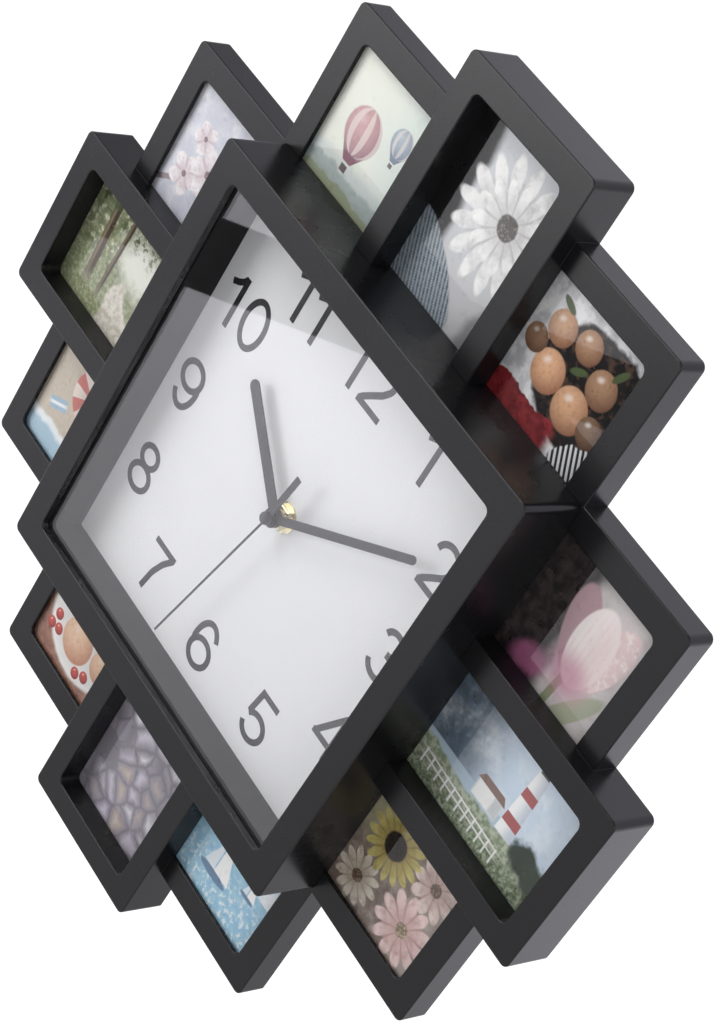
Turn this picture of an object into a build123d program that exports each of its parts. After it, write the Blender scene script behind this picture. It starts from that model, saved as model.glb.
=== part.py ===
"""Wall clock with a square deep frame and three photo frames on each of its four sides.

Every piece is modelled lying on its back: X runs to the right, Y up the wall and Z out from the
wall, so a height is a distance from the wall.  stand_up() then turns it upright, so that the
finished clock faces -Y, its twelve points to +Z and the wall is the plane y = 0.  The origin is
where the wall screw sits in the keyhole.  All lengths are millimetres.
"""
import math
import os

from build123d import *

# General
running_gap = 0.05        # radial clearance of a shaft in its bearing
seat_gap = 0.1            # clearance between fixed pieces that slot together
slide_gap = 0.1           # clearance between a turning plate and what it lies on
overrun = 1.0             # how far a cut runs past the face that it opens

# Clock frame: a square ring, hollow from behind
clock_half = 111.0        # centre to outside, at each side
clock_front = 43.9        # wall to the front of the ring
clock_rim = 13.8          # width of the ring's front
clock_corner = 3.4        # outer corner radius
clock_opening_corner = 3.2
clock_skin = 2.5          # thickness of its front and walls
clock_lip_depth = 3.0     # front of the ring to the glass
front_edge = 0.55         # rounding of every front edge

# Photo frames: a middle one that stands proud, between two square ones
middle_half = 41.8        # half the width of a middle frame
middle_depth = 97.4       # side of the ring to its outer end
middle_front = 22.6       # wall to its front
middle_rim = 12.3
corner_overhang = 0.6     # how far a corner frame runs past the ring's side
corner_depth = 70.6       # side of the ring to its outer end
corner_front = 13.5       # wall to its front
corner_rim = 12.4
photo_corner = 3.2        # corner radius of the frames, outside
opening_corner = 3.4      # corner radius of their openings
frame_skin = 2.4          # front skin and outer wall
core_wall = 1.7           # wall between a photo pocket and the hollow in a rim

# Photos and what holds them
middle_side_lap = 2.25    # how far a rim covers a print: middle prints are 63.5 x 88.9
middle_end_lap = 1.9
corner_side_lap = 3.05    # corner prints are 63.5 square
corner_end_lap = 2.65
print_thickness = 0.3
pocket_slack = 0.8        # how much larger a pocket is than its print
pane_thickness = 2.0
board_thickness = 3.0
pane_front = 11.5         # wall to the front of the photo panes
tab_reach = 2.2           # how far a fixed tab holds a board's edge
tab_width = 9.0
tab_thickness = 1.3
clip_length = 22.0
clip_width = 5.8
clip_thickness = 1.0
clip_pivot = 3.0          # rivet diameter
clip_head = 5.6
clip_head_thickness = 0.8

# Glass, spacer and dial, dropped into the ring from behind
glass_thickness = 2.0
rebate = 2.4              # how far the ring's lip holds the glass
dial_front = 19.9         # wall to the dial
dial_thickness = 1.5
spacer_corner = 0.8

# Rear cover and the flange of the photo frames that it clamps to the ring
flange_width = 10.0       # how far the flange reaches under the ring
cover_margin = 4.0        # side of the ring to the cover's edge
cover_thickness = 2.0
cover_corner = 5.0
cover_rib = 1.8
cover_rib_height = 3.0
post_radius = 3.0
post_row_share = 0.42     # place of the posts along a side
screw_radius = 1.25
screw_head_radius = 2.4
screw_head_thickness = 1.5
screw_edge = 2.7          # cover's edge to the rows of screws
screw_row_share = 0.6     # place of the outer screws along a side
boss_height = 18.0
screw_grip = 12.0         # length of thread in a boss

# Keyhole hanger
hanger_width = 46.0
hanger_height = 24.0
hanger_thickness = 1.0
hanger_drop = 31.0        # cover's edge to the middle of the plate
key_entry_radius = 4.5
key_slot_radius = 2.3
key_rise = 8.0            # entry centre to the top of the slot
key_window_margin = 2.0
rivet_radius = 1.5
rivet_head_radius = 2.6
rivet_head_thickness = 0.8
rivet_spread_share = 0.37

# Quartz movement
movement_depth = 15.5
movement_corner = 3.0
movement_wall = 1.4
cushion_thickness = 1.0   # rubber washer between movement and dial
cushion_radius = 12.0
cover_lid = 1.5           # rear lid of the movement
battery_radius = 7.1
battery_length = 49.2
battery_nub_radius = 2.7
battery_nub_length = 1.2
battery_slack = 0.4
contact_thickness = 0.4
contact_width = 8.0
spring_length = 1.4
board_inner_thickness = 1.0

# Sleeve, washer and nut
sleeve_radius = 3.9
sleeve_above_nut = 0.9
washer_radius = 7.0
washer_thickness = 0.8
nut_flats = 10.5
nut_thickness = 2.6

# Arbors, from the inside out
seconds_radius = 0.6
minute_tube_radius = 1.6
hour_tube_radius = 2.5

# Wheels
module_fast = 0.4         # cannon pinion and reduction wheel
cannon_teeth = 12
reduction_teeth = 36
reduction_pinion_teeth = 10
hour_teeth = 40
wheel_thickness = 1.0
pinion_thickness = 1.8
tooth_share = 0.40        # tooth width at the pitch circle, as a share of the pitch
tooth_tip_share = 0.20
tooth_root_share = 0.54
addendum_share = 0.85     # of the module
dedendum_share = 1.15
reduction_arbor_radius = 0.9
reduction_bearing = 126.0  # degrees round the centre, seen from the front

# Going train: rotor, step wheel, seconds wheel, third wheel and centre wheel
seconds_wheel_radius = 6.6
wheel_teeth = 60          # seconds wheel, step wheel and third wheel
centre_teeth = 64
small_pinion_teeth = 8    # on the seconds arbor and on the third wheel
step_pinion_teeth = 12
rotor_pinion_teeth = 10
module_step = 0.2         # step wheel and rotor pinion
third_distance = 7.48     # seconds arbor to third arbor
third_bearing = 196.0     # degrees round the centre, seen from the front
step_bearing = 60.0
rotor_bearing = 90.0      # degrees round the step wheel
thin_wheel = 0.8
train_arbor_radius = 0.4
bearing_boss = 1.4
magnet_radius = 2.3
magnet_length = 2.0
magnet_gap = 0.4
stator_thickness = 1.0
stator_reach = 3.2        # rotor to the stator's edge, below and beside
stator_leg = 2.8
coil_radius = 3.4
coil_core = 1.3
coil_length = 15.0
bridge_thickness = 0.8
bridge_margin = 7.4       # bearings to the bridge's edge
bridge_post = 1.2
knob_radius = 5.5
knob_thickness = 2.2
knob_recess_slack = 0.5
knob_grips = 18

# Hands
hand_thickness = 0.5
hour_width = 5.7
minute_width = 3.9
hour_length = 58.8
minute_margin = 11.4      # hand's tip to the wall round the dial
seconds_margin = 8.4
seconds_width = 0.9
tail_length = 25.6
tail_width = 3.1
tail_lean = 5.0           # degrees that the tail stands off the pointer's line
tail_start = 2.0
hub_radius = 4.2
seconds_hub_radius = 2.9
hub_height = 1.3
cap_radius = 2.9
cap_height = 2.6
hour_plane = 25.3         # wall to the back of each hand
minute_plane = 27.6
seconds_plane = 29.7
hour_angle = 54.6         # degrees anticlockwise from twelve: just past ten
minute_angle = -57.7
seconds_angle = 166.7

# Worked out
clock_opening = clock_half - clock_rim
middle_reach = clock_half + middle_depth
corner_reach = clock_half + corner_depth
corner_side = clock_half + corner_overhang
flange_inner = clock_half - flange_width
cover_half = clock_half - cover_margin
screw_line = cover_half - screw_edge
hanger_centre = cover_half - hanger_drop
minute_length = clock_opening - minute_margin
seconds_length = clock_opening - seconds_margin
glass_front = clock_front - clock_lip_depth
glass_back = glass_front - glass_thickness
rebate_half = clock_opening + rebate
insert_half = rebate_half - seat_gap
dial_back = dial_front - dial_thickness
print_back = pane_front - pane_thickness - print_thickness
frame_back = print_back - board_thickness
cover_back = frame_back - cover_thickness
cell_room = battery_length + battery_nub_length + 3 * contact_thickness + spring_length + 2 * slide_gap
movement_half = cell_room / 2 + movement_wall
movement_front = dial_back - cushion_thickness
movement_back = movement_front - movement_depth
middle_opening_half = middle_half - middle_rim
middle_opening_end = middle_reach - middle_rim
corner_opening_side = corner_side - corner_rim
corner_opening_end = corner_reach - corner_rim
middle_print_half = middle_opening_half + middle_side_lap
middle_print_low = clock_half - middle_end_lap
middle_print_high = middle_opening_end + middle_end_lap
corner_print_inner = middle_half - corner_side_lap
corner_print_outer = corner_opening_side + corner_side_lap
corner_print_low = clock_half - corner_end_lap
corner_print_high = corner_opening_end + corner_end_lap
slack = pocket_slack / 2
clip_x = (middle_print_half + corner_print_inner) / 2
clip_y = (corner_print_low + corner_print_high) / 2
gear_distance = module_fast * (cannon_teeth + reduction_teeth) / 2
module_slow = 2 * gear_distance / (reduction_pinion_teeth + hour_teeth)
module_seconds = 2 * seconds_wheel_radius / wheel_teeth
module_third = 2 * third_distance / (wheel_teeth + small_pinion_teeth)
module_centre = 2 * third_distance / (centre_teeth + small_pinion_teeth)
step_distance = module_seconds * (wheel_teeth + step_pinion_teeth) / 2
rotor_distance = module_step * (wheel_teeth + rotor_pinion_teeth) / 2
sides = {"top": 0, "right": -90, "bottom": 180, "left": 90}


def stand_up(shape):
    """Turn a piece from lying on its back to hanging on the wall by its keyhole."""
    return Pos(0, 0, -slot_top()) * (Rot(90, 0, 0) * shape)


def slab(sketch, low, high):
    """Flat sketch raised from one height to another."""
    return Pos(0, 0, low) * extrude(sketch, high - low)


def block(x_low, x_high, y_low, y_high, low, high):
    """Plain box between six limits."""
    middle = Pos((x_low + x_high) / 2, (y_low + y_high) / 2, 0)
    return slab(middle * Rectangle(x_high - x_low, y_high - y_low), low, high)


def disc(x, y, radius, low, high):
    """Round solid on an axis towards the viewer."""
    return slab(Pos(x, y) * Circle(radius), low, high)


def square(half, corner):
    """Square sketch about the centre with rounded corners."""
    return RectangleRounded(2 * half, 2 * half, corner)


def round_front(shape):
    """Round the edges of a solid's front face."""
    front = shape.faces().sort_by(Axis.Z)[-1]
    return fillet(front.edges(), front_edge)


def outline(side, end, step_half, step_end, base):
    """Stepped outline of one side's three frames, from a base line outwards."""
    points = [(-side, base), (-side, end), (-step_half, end), (-step_half, step_end)]
    points += [(-x, y) for x, y in reversed(points)]
    return make_face(Polyline(*points, close=True))


def screw_places():
    """Screws along the four sides, three to a side."""
    row = [screw_row_share * clock_half * step for step in (-1, 0, 1)]
    places = []
    for angle in sides.values():
        for x in row:
            places.append(Vector(x, screw_line, 0).rotate(Axis.Z, angle))
    return places


def clip_places():
    """Pivots of the turn clips, two to a side, each with its side's angle."""
    places = {}
    for name, angle in sides.items():
        for end, sign in (("first", -1), ("second", 1)):
            places[f"{name}_{end}"] = (Vector(sign * clip_x, clip_y, 0).rotate(Axis.Z, angle), angle)
    return places


def clock_frame():
    """Square ring with a hollow rim, a lip in front and screw bosses behind."""
    body = slab(square(clock_half, clock_corner), pane_front, clock_front)
    body -= slab(square(clock_opening, clock_opening_corner), pane_front - overrun, clock_front + overrun)
    body = round_front(body)
    body -= slab(square(rebate_half, clock_opening_corner), pane_front - overrun, glass_front)
    core_outer = clock_half - clock_skin
    core_inner = rebate_half + clock_skin - seat_gap
    core = square(core_outer, clock_corner) - square(core_inner, clock_opening_corner)
    body -= slab(core, pane_front - overrun, clock_front - clock_skin)
    across = (core_outer - core_inner) / 2
    for place in screw_places():
        body += disc(place.X, place.Y, across, pane_front, pane_front + boss_height)
    for angle in sides.values():
        for sign in (-1, 1):
            x = sign * (screw_row_share / 2) * clock_half
            rib = block(x - clock_skin / 2, x + clock_skin / 2, core_inner, core_outer,
                        pane_front, clock_front - clock_skin)
            body += Rot(0, 0, angle) * rib
    for place in screw_places():
        body -= disc(place.X, place.Y, screw_radius, pane_front - overrun, pane_front + screw_grip)
    return body


def frame_front():
    """One side's three frames in full, before anything is taken out from behind."""
    low = block(-corner_side, corner_side, flange_inner, corner_reach, 0, corner_front)
    low = fillet(low.edges().filter_by(Axis.Z).sort_by(Axis.Y)[-2:], photo_corner)
    for sign in (-1, 1):
        x_far = corner_opening_side
        opening = block(middle_half, x_far, flange_inner - overrun, corner_opening_end,
                        pane_front, corner_front + overrun)
        far = opening.edges().filter_by(Axis.Z).group_by(Axis.Y)[-1].sort_by(Axis.X)[-1]
        opening = fillet(far, opening_corner)
        low -= opening if sign > 0 else mirror(opening, Plane.YZ)
    low = round_front(low)
    raised = block(-middle_half, middle_half, flange_inner, middle_reach, 0, middle_front)
    raised = fillet(raised.edges().filter_by(Axis.Z).group_by(Axis.Y)[-1], photo_corner)
    opening = block(-middle_opening_half, middle_opening_half, flange_inner - overrun, middle_opening_end,
                    pane_front, middle_front + overrun)
    opening = fillet(opening.edges().filter_by(Axis.Z).group_by(Axis.Y)[-1], opening_corner)
    raised -= opening
    raised = round_front(raised)
    low -= opening
    return low + raised


def photo_frame():
    """Moulded frame for three photos: hollow rims, pockets behind and a flange under the ring."""
    body = frame_front()
    seat = square(clock_half + seat_gap, clock_corner)
    body -= slab(seat, pane_front, middle_front + overrun)
    body -= slab(outline(corner_side - frame_skin, corner_reach - frame_skin, middle_half - frame_skin,
                         middle_reach - frame_skin, flange_inner - overrun), -overrun, frame_back)
    far = 2 * middle_reach
    mitre = make_face(Polyline((0, 0), (far, far), (-far, far), close=True))
    body &= slab(mitre, -overrun, middle_front + overrun)
    for pocket in photo_sheets(slack, frame_back - overrun, pane_front):
        body -= pocket
    body = body - rim_cores()
    body += board_tabs()
    for sign in (-1, 1):
        body -= disc(sign * clip_x, clip_y, clip_pivot / 2, frame_back - overrun, pane_front)
    for place in screw_places()[:3]:
        body -= disc(place.X, place.Y, screw_radius + seat_gap, frame_back - overrun, pane_front + overrun)
    return body


def rim_cores():
    """Hollows that keep the rims' walls thin, open towards the wall."""
    bottom = frame_back - overrun
    low_top = corner_front - frame_skin
    high_top = middle_front - frame_skin
    wall = slack + core_wall
    core_x = (corner_print_outer + wall, corner_side - frame_skin)
    core_y = (corner_print_high + wall, corner_reach - frame_skin)
    start = clock_half + frame_skin
    divider = (middle_print_half + wall, corner_print_inner - wall)
    boss = clip_head
    high_y = (middle_print_high + wall, middle_reach - frame_skin)
    high_x = middle_half - frame_skin
    cores = []
    for sign in (-1, 1):
        for x_range, y_range, top in (
            (core_x, (start, corner_reach - frame_skin), low_top),
            ((middle_half + frame_skin, corner_side - frame_skin), core_y, low_top),
            (divider, (start, clip_y - boss), high_top),
            (divider, (clip_y + boss, corner_print_high + slack), high_top),
            ((middle_print_half + wall, high_x), (core_y[0], middle_reach - frame_skin), high_top),
            ((0, high_x), high_y, high_top),
        ):
            x_low, x_high = sorted(sign * x for x in x_range)
            cores.append(block(x_low, x_high, *y_range, bottom, top))
    return cores


def board_tabs():
    """Fixed tabs that the boards' outer edges slide under."""
    tabs = []
    low = frame_back - slide_gap - tab_thickness
    high = frame_back - slide_gap
    pocket_side = corner_print_outer + slack
    far_side = corner_side - frame_skin / 2
    step = (corner_print_high - corner_print_low) / 4
    for sign in (-1, 1):
        for y in (clip_y - step, clip_y + step):
            across = (y - tab_width / 2, y + tab_width / 2)
            hook = sorted(sign * x for x in (pocket_side - tab_reach, far_side))
            root = sorted(sign * x for x in (pocket_side + seat_gap, far_side))
            tabs.append(block(*hook, *across, low, high))
            tabs.append(block(*root, *across, low, frame_back + overrun))
    pocket_end = middle_print_high + slack
    far_end = middle_reach - frame_skin / 2
    tabs.append(block(-tab_width, tab_width, pocket_end - tab_reach, far_end, low, high))
    tabs.append(block(-tab_width, tab_width, pocket_end + seat_gap, far_end, low, frame_back + overrun))
    return tabs


def photo_sheets(growth, low, high):
    """One side's three prints, or panes, boards or pockets larger than them by a growth on each side."""
    half = middle_print_half + growth
    sheets = [block(-half, half, middle_print_low - growth, middle_print_high + growth, low, high)]
    for sign in (-1, 1):
        across = sorted(sign * x for x in (corner_print_inner - growth, corner_print_outer + growth))
        sheets.append(block(*across, corner_print_low - growth, corner_print_high + growth, low, high))
    return sheets


def turn_clip(place, angle):
    """Flat turn button that holds the edges of two boards."""
    high = frame_back - slide_gap
    low = high - clip_thickness
    plate = SlotOverall(clip_length, clip_width)
    plate -= Circle(clip_pivot / 2 + running_gap)
    ear = clip_length / 2 - clip_width / 2
    lip = Pos(ear, 0) * Circle(clip_width / 5)
    shape = slab(plate, low, high) + slab(lip, low - clip_thickness / 2, low)
    return Pos(place.X, place.Y, 0) * (Rot(0, 0, angle) * shape)


def clip_rivets():
    """Rivets that the turn clips swing on."""
    rivets = []
    clip_back = frame_back - slide_gap - clip_thickness
    for place, _ in clip_places().values():
        shank = disc(place.X, place.Y, clip_pivot / 2, clip_back - slide_gap, pane_front)
        head = disc(place.X, place.Y, clip_head / 2, clip_back - slide_gap - clip_head_thickness,
                    clip_back - slide_gap)
        rivets.append(shank + head)
    return rivets


def clock_glass():
    """Clear pane over the dial."""
    return slab(square(insert_half, clock_opening_corner), glass_back, glass_front)


def glass_spacer():
    """Square tube that keeps the glass off the dial."""
    ring = square(insert_half, clock_opening_corner) - square(clock_opening, spacer_corner)
    return slab(ring, dial_front, glass_back)


def dial_plate():
    """Flat dial with a hole for the sleeve."""
    face = square(insert_half, clock_opening_corner) - Circle(sleeve_radius + seat_gap)
    return slab(face, dial_back, dial_front)


def post_places():
    """Posts of the rear cover that press the dial against its spacer."""
    reach = clock_opening - post_radius
    row = post_row_share * clock_half
    places = []
    for angle in sides.values():
        for x in (-row, row):
            places.append(Vector(x, reach, 0).rotate(Axis.Z, angle))
    return places


def rear_cover():
    """Rear cover with a window for the movement, dial posts and a rib that finds the frames."""
    body = slab(square(cover_half, cover_corner), cover_back, frame_back)
    rib_outer = flange_inner - 4 * seat_gap
    rib = square(rib_outer, cover_rib) - square(rib_outer - cover_rib, cover_rib / 2)
    body += slab(rib, frame_back, frame_back + cover_rib_height)
    for place in post_places():
        body += disc(place.X, place.Y, post_radius, frame_back, dial_back)
    window = movement_half + 4 * seat_gap
    surround = square(window + cover_rib, movement_corner + cover_rib)
    body += slab(surround, frame_back, frame_back + cover_rib_height)
    rib_top = frame_back + cover_rib_height
    body -= slab(square(window, movement_corner), cover_back - overrun, rib_top + overrun)
    diagonal = math.sqrt(2)
    start = window * diagonal - cover_rib
    end = (clock_opening - 2 * post_radius) * diagonal
    for turn in (45, 135, 225, 315):
        body += Rot(0, 0, turn) * block(start, end, -cover_rib / 2, cover_rib / 2, frame_back, rib_top)
    width = 2 * (key_entry_radius + key_window_margin)
    height = key_rise + width
    body -= slab(Pos(0, key_middle()) * RectangleRounded(width, height, key_window_margin),
                 cover_back - overrun, frame_back + overrun)
    for place in screw_places():
        body -= disc(place.X, place.Y, screw_radius + seat_gap, cover_back - overrun, frame_back + overrun)
    for x in rivet_places():
        body -= disc(x, hanger_centre, rivet_radius, cover_back - overrun, frame_back + overrun)
    return body


def key_middle():
    """Middle of the keyhole, half way from its entry's centre to the top of its slot."""
    return hanger_centre + (key_entry_radius - key_slot_radius) / 2


def slot_top():
    """Centre of the slot's upper end, where the wall screw sits."""
    return key_middle() + key_rise / 2


def rivet_places():
    """Rivets at the two ends of the hanger plate."""
    return (-rivet_spread_share * hanger_width, rivet_spread_share * hanger_width)


def hanger_plate():
    """Steel plate with the keyhole that the clock hangs by."""
    low = cover_back - hanger_thickness
    plate = slab(Pos(0, hanger_centre) * RectangleRounded(hanger_width, hanger_height, key_slot_radius),
                 low, cover_back)
    entry = key_middle() - key_rise / 2
    hole = Pos(0, entry) * Circle(key_entry_radius)
    hole += Pos(0, entry + key_rise / 2) * Rectangle(2 * key_slot_radius, key_rise)
    hole += Pos(0, entry + key_rise) * Circle(key_slot_radius)
    plate -= slab(hole, low - overrun, cover_back + overrun)
    for x in rivet_places():
        plate -= disc(x, hanger_centre, rivet_radius, low - overrun, cover_back + overrun)
    return plate


def hanger_rivets():
    """Rivets that hold the hanger plate."""
    rivets = []
    low = cover_back - hanger_thickness
    for x in rivet_places():
        rivet = disc(x, hanger_centre, rivet_radius, low, frame_back)
        rivet += disc(x, hanger_centre, rivet_head_radius, low - rivet_head_thickness, low)
        rivet += disc(x, hanger_centre, rivet_head_radius, frame_back, frame_back + rivet_head_thickness)
        rivets.append(rivet)
    return rivets


def case_screws():
    """Screws that hold cover, photo frames and ring together."""
    head = disc(0, 0, screw_head_radius, cover_back - screw_head_thickness, cover_back)
    cross = Rectangle(screw_head_radius / 4, screw_head_radius)
    cross += Rectangle(screw_head_radius, screw_head_radius / 4)
    bottom = cover_back - screw_head_thickness - overrun
    head -= slab(cross, bottom, cover_back - screw_head_thickness / 2)
    screw = head + disc(0, 0, screw_radius, cover_back, pane_front + screw_grip - overrun)
    return [Pos(place.X, place.Y, 0) * screw for place in screw_places()]


def gear(teeth, module, thickness, bore):
    """Spur wheel with straight-flanked teeth, one tooth centred on +X.

    A tooth of the fine going train is one straight flank each side, without a point in between.
    """
    pitch = math.pi * module
    radius = teeth * module / 2
    rings = [
        (radius - dedendum_share * module, tooth_root_share),
        (radius, tooth_share),
        (radius + addendum_share * module, tooth_tip_share),
    ]
    if module < module_slow:
        rings.pop(1)
    points = []
    for tooth in range(teeth):
        middle = 2 * math.pi * tooth / teeth
        rising = [(r, middle - share * pitch / 2 / r) for r, share in rings]
        falling = [(r, middle + share * pitch / 2 / r) for r, share in reversed(rings)]
        points += [(r * math.cos(a), r * math.sin(a)) for r, a in rising + falling]
    face = make_face(Polyline(*points, close=True))
    if bore:
        face -= Circle(bore)
    return extrude(face, thickness)


def reduction_place():
    """Centre of the reduction wheel."""
    turn = math.radians(reduction_bearing)
    return gear_distance * math.cos(turn), gear_distance * math.sin(turn)


def around(bearing, distance, start=(0, 0)):
    """Place at a distance and bearing from another one."""
    turn = math.radians(bearing)
    return start[0] + distance * math.cos(turn), start[1] + distance * math.sin(turn)


def third_place():
    """Centre of the third wheel."""
    return around(third_bearing, third_distance)


def step_place():
    """Centre of the step wheel."""
    return around(step_bearing, step_distance)


def rotor_place():
    """Centre of the rotor."""
    return around(rotor_bearing, rotor_distance, step_place())


def train_places():
    """Centres of the three arbors that turn between the lid and the bridge."""
    return [third_place(), step_place(), rotor_place()]


def train_layers():
    """Heights of the fine wheels, the centre wheel, the stator and the bridge."""
    _, _, reduction, seconds = layers()
    fine = seconds + wheel_thickness + thin_wheel
    centre = reduction - (pinion_thickness - wheel_thickness) / 2 - wheel_thickness
    stator = centre - magnet_gap * 3 / 4
    bridge = reduction + (wheel_thickness + pinion_thickness) / 2 + slide_gap
    return fine, centre, stator, bridge


def train_arbor():
    """Thin steel arbor from its bearing in the lid to the front of the bridge."""
    _, _, _, bridge = train_layers()
    start = movement_back + cover_lid / 2 + slide_gap
    return disc(0, 0, train_arbor_radius, start, bridge + bridge_thickness)


def layers():
    """Heights of the wheels inside the movement, worked out from its front wall."""
    inner_front = movement_front - movement_wall
    hour = inner_front - 3 * wheel_thickness
    reduction = hour - 2 * wheel_thickness - pinion_thickness / 2
    seconds = reduction - 5 * wheel_thickness
    return inner_front, hour, reduction, seconds


def hour_wheel():
    """Hour wheel on the tube that carries the hour hand."""
    inner_front, hour, _, _ = layers()
    bore = minute_tube_radius + running_gap
    body = Pos(0, 0, hour) * gear(hour_teeth, module_slow, wheel_thickness, bore)
    tube = disc(0, 0, hour_tube_radius, hour, hour_plane + hub_height)
    shoulder = disc(0, 0, 2 * hour_tube_radius, hour + wheel_thickness, inner_front - slide_gap)
    body += tube + shoulder
    return body - disc(0, 0, bore, hour - overrun, hour_plane + hub_height + overrun)


def minute_arbor():
    """Cannon pinion on the tube that carries the minute hand."""
    _, _, reduction, _ = layers()
    bore = seconds_radius + running_gap
    mesh = Rot(0, 0, reduction_bearing + 180 / cannon_teeth)
    low = reduction - (pinion_thickness - wheel_thickness) / 2
    body = Pos(0, 0, low) * (mesh * gear(cannon_teeth, module_fast, pinion_thickness, bore))
    body += disc(0, 0, minute_tube_radius, low - wheel_thickness, minute_plane + hub_height)
    return body - disc(0, 0, bore, low - wheel_thickness - overrun, minute_plane + hub_height + overrun)


def reduction_wheel():
    """Wheel and pinion between the cannon pinion and the hour wheel, with the setting arbor."""
    inner_front, hour, reduction, _ = layers()
    x, y = reduction_place()
    facing = Rot(0, 0, reduction_bearing + 180)
    wheel = Pos(0, 0, reduction) * (facing * gear(reduction_teeth, module_fast, wheel_thickness, 0))
    slow = Pos(0, 0, hour - (pinion_thickness - wheel_thickness) / 2)
    mesh = Rot(0, 0, pinion_phase())
    pinion = slow * (mesh * gear(reduction_pinion_teeth, module_slow, pinion_thickness, 0))
    arbor = disc(0, 0, reduction_arbor_radius, movement_back + knob_thickness / 2, inner_front - slide_gap)
    hub = disc(0, 0, reduction_pinion_teeth * module_slow / 2 - module_slow, reduction, hour)
    return Pos(x, y, 0) * (wheel + pinion + arbor + hub)


def pinion_phase():
    """Turn that sets a gap of the reduction pinion on the hour wheel's nearest tooth."""
    tooth = 360 / hour_teeth
    nearest = round(reduction_bearing / tooth) * tooth
    slip = (nearest - reduction_bearing) * hour_teeth / reduction_pinion_teeth
    return reduction_bearing + 180 + 180 / reduction_pinion_teeth - slip


def seconds_arbor():
    """Thin arbor of the seconds hand with its wheel."""
    _, _, reduction, seconds = layers()
    end = seconds_plane + hand_thickness + cap_height / 2
    fine, _, _, _ = train_layers()
    body = disc(0, 0, seconds_radius, movement_back + cover_lid, end)
    wheel = Rot(0, 0, step_bearing) * gear(wheel_teeth, module_seconds, wheel_thickness, 0)
    length = fine + thin_wheel + slide_gap - seconds - wheel_thickness
    pinion = Rot(0, 0, third_bearing) * gear(small_pinion_teeth, module_third, length, 0)
    return body + Pos(0, 0, seconds) * wheel + Pos(0, 0, seconds + wheel_thickness) * pinion


def third_wheel():
    """Wheel that the seconds pinion drives, with the pinion that drives the centre wheel."""
    fine, centre, _, _ = train_layers()
    inward = third_bearing + 180
    wheel = Rot(0, 0, inward + 180 / wheel_teeth) * gear(wheel_teeth, module_third, thin_wheel, 0)
    length = centre + thin_wheel + slide_gap - fine - thin_wheel
    pinion = Rot(0, 0, inward) * gear(small_pinion_teeth, module_centre, length, 0)
    x, y = third_place()
    return Pos(x, y, 0) * (Pos(0, 0, fine) * wheel + Pos(0, 0, fine + thin_wheel) * pinion + train_arbor())


def centre_wheel():
    """Wheel that carries the minute arbor round by friction, so that the hands can be set."""
    _, centre, _, _ = train_layers()
    bore = minute_tube_radius + running_gap
    facing = Rot(0, 0, third_bearing + 180 / centre_teeth)
    return Pos(0, 0, centre) * (facing * gear(centre_teeth, module_centre, thin_wheel, bore))


def step_wheel():
    """Wheel that the rotor drives, with the pinion that drives the seconds wheel."""
    _, _, _, seconds = layers()
    fine, _, _, _ = train_layers()
    wheel = Rot(0, 0, rotor_bearing) * gear(wheel_teeth, module_step, thin_wheel, 0)
    inward = step_bearing + 180
    pinion = gear(step_pinion_teeth, module_seconds, fine - seconds, 0)
    pinion = Rot(0, 0, inward + 180 / step_pinion_teeth) * pinion
    x, y = step_place()
    return Pos(x, y, 0) * (Pos(0, 0, seconds) * pinion + Pos(0, 0, fine) * wheel + train_arbor())


def rotor():
    """Round magnet in the stator's hole, with the first pinion of the train."""
    fine, _, stator, _ = train_layers()
    inward = rotor_bearing + 180
    pinion = gear(rotor_pinion_teeth, module_step, thin_wheel + magnet_gap, 0)
    pinion = Rot(0, 0, inward + 180 / rotor_pinion_teeth) * pinion
    low = stator + (stator_thickness - magnet_length) / 2
    magnet = disc(0, 0, magnet_radius, low, low + magnet_length)
    x, y = rotor_place()
    return Pos(x, y, 0) * (Pos(0, 0, fine - magnet_gap / 2) * pinion + magnet + train_arbor())


def coil_place():
    """Ends of the motor's legs, and the coil's axis across and in height."""
    x, _ = rotor_place()
    _, _, stator, _ = train_layers()
    high = x + stator_leg / 2 + stator_reach
    low = high - coil_length - 2 * (stator_leg + slide_gap)
    y = movement_half - 2 * movement_wall - coil_radius
    return low, high, y, stator + stator_thickness + coil_core


def stator_plate():
    """Flat iron round the rotor, with a leg to each end of the coil's core."""
    x, y = rotor_place()
    low, high, coil_y, _ = coil_place()
    _, _, stator, _ = train_layers()
    top = stator + stator_thickness
    reach = y + coil_radius - magnet_gap
    plate = block(low, high, y - stator_reach, reach, stator, top)
    for start in (low, high - stator_leg):
        plate += block(start, start + stator_leg, reach - overrun, coil_y + coil_core, stator, top)
    return plate - disc(x, y, magnet_radius + magnet_gap, stator - overrun, top + overrun)


def train_bridge():
    """Plate that holds the front ends of the three arbors, on four posts from the case."""
    _, _, _, bridge = train_layers()
    top = bridge + bridge_thickness
    left, below = third_place()
    _, above = rotor_place()
    right, _ = step_place()
    x_low, x_high = left - bridge_margin, right + bridge_margin / 2
    y_low, y_high = below - bridge_margin * 5 / 6, above + bridge_margin * 2 / 5
    plate = block(x_low, x_high, y_low, y_high, bridge, top)
    for x in (x_low + bridge_post, x_high - bridge_post):
        for y in (y_low + bridge_post, y_high - bridge_post):
            plate += disc(x, y, bridge_post, bridge, movement_front - movement_wall)
    clear_pinion = module_slow * reduction_pinion_teeth / 2 + module_slow
    clear_cannon = module_fast * cannon_teeth / 2 + 2 * module_fast
    holes = [(reduction_place(), clear_pinion), ((0, 0), clear_cannon)]
    holes += [(place, train_arbor_radius + running_gap) for place in train_places()]
    for (x, y), radius in holes:
        plate -= disc(x, y, radius, bridge - overrun, top + overrun)
    return plate


def bay_top():
    """Upper edge of the battery bay."""
    return -movement_half + movement_wall + 2 * (battery_radius + battery_slack)


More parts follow.
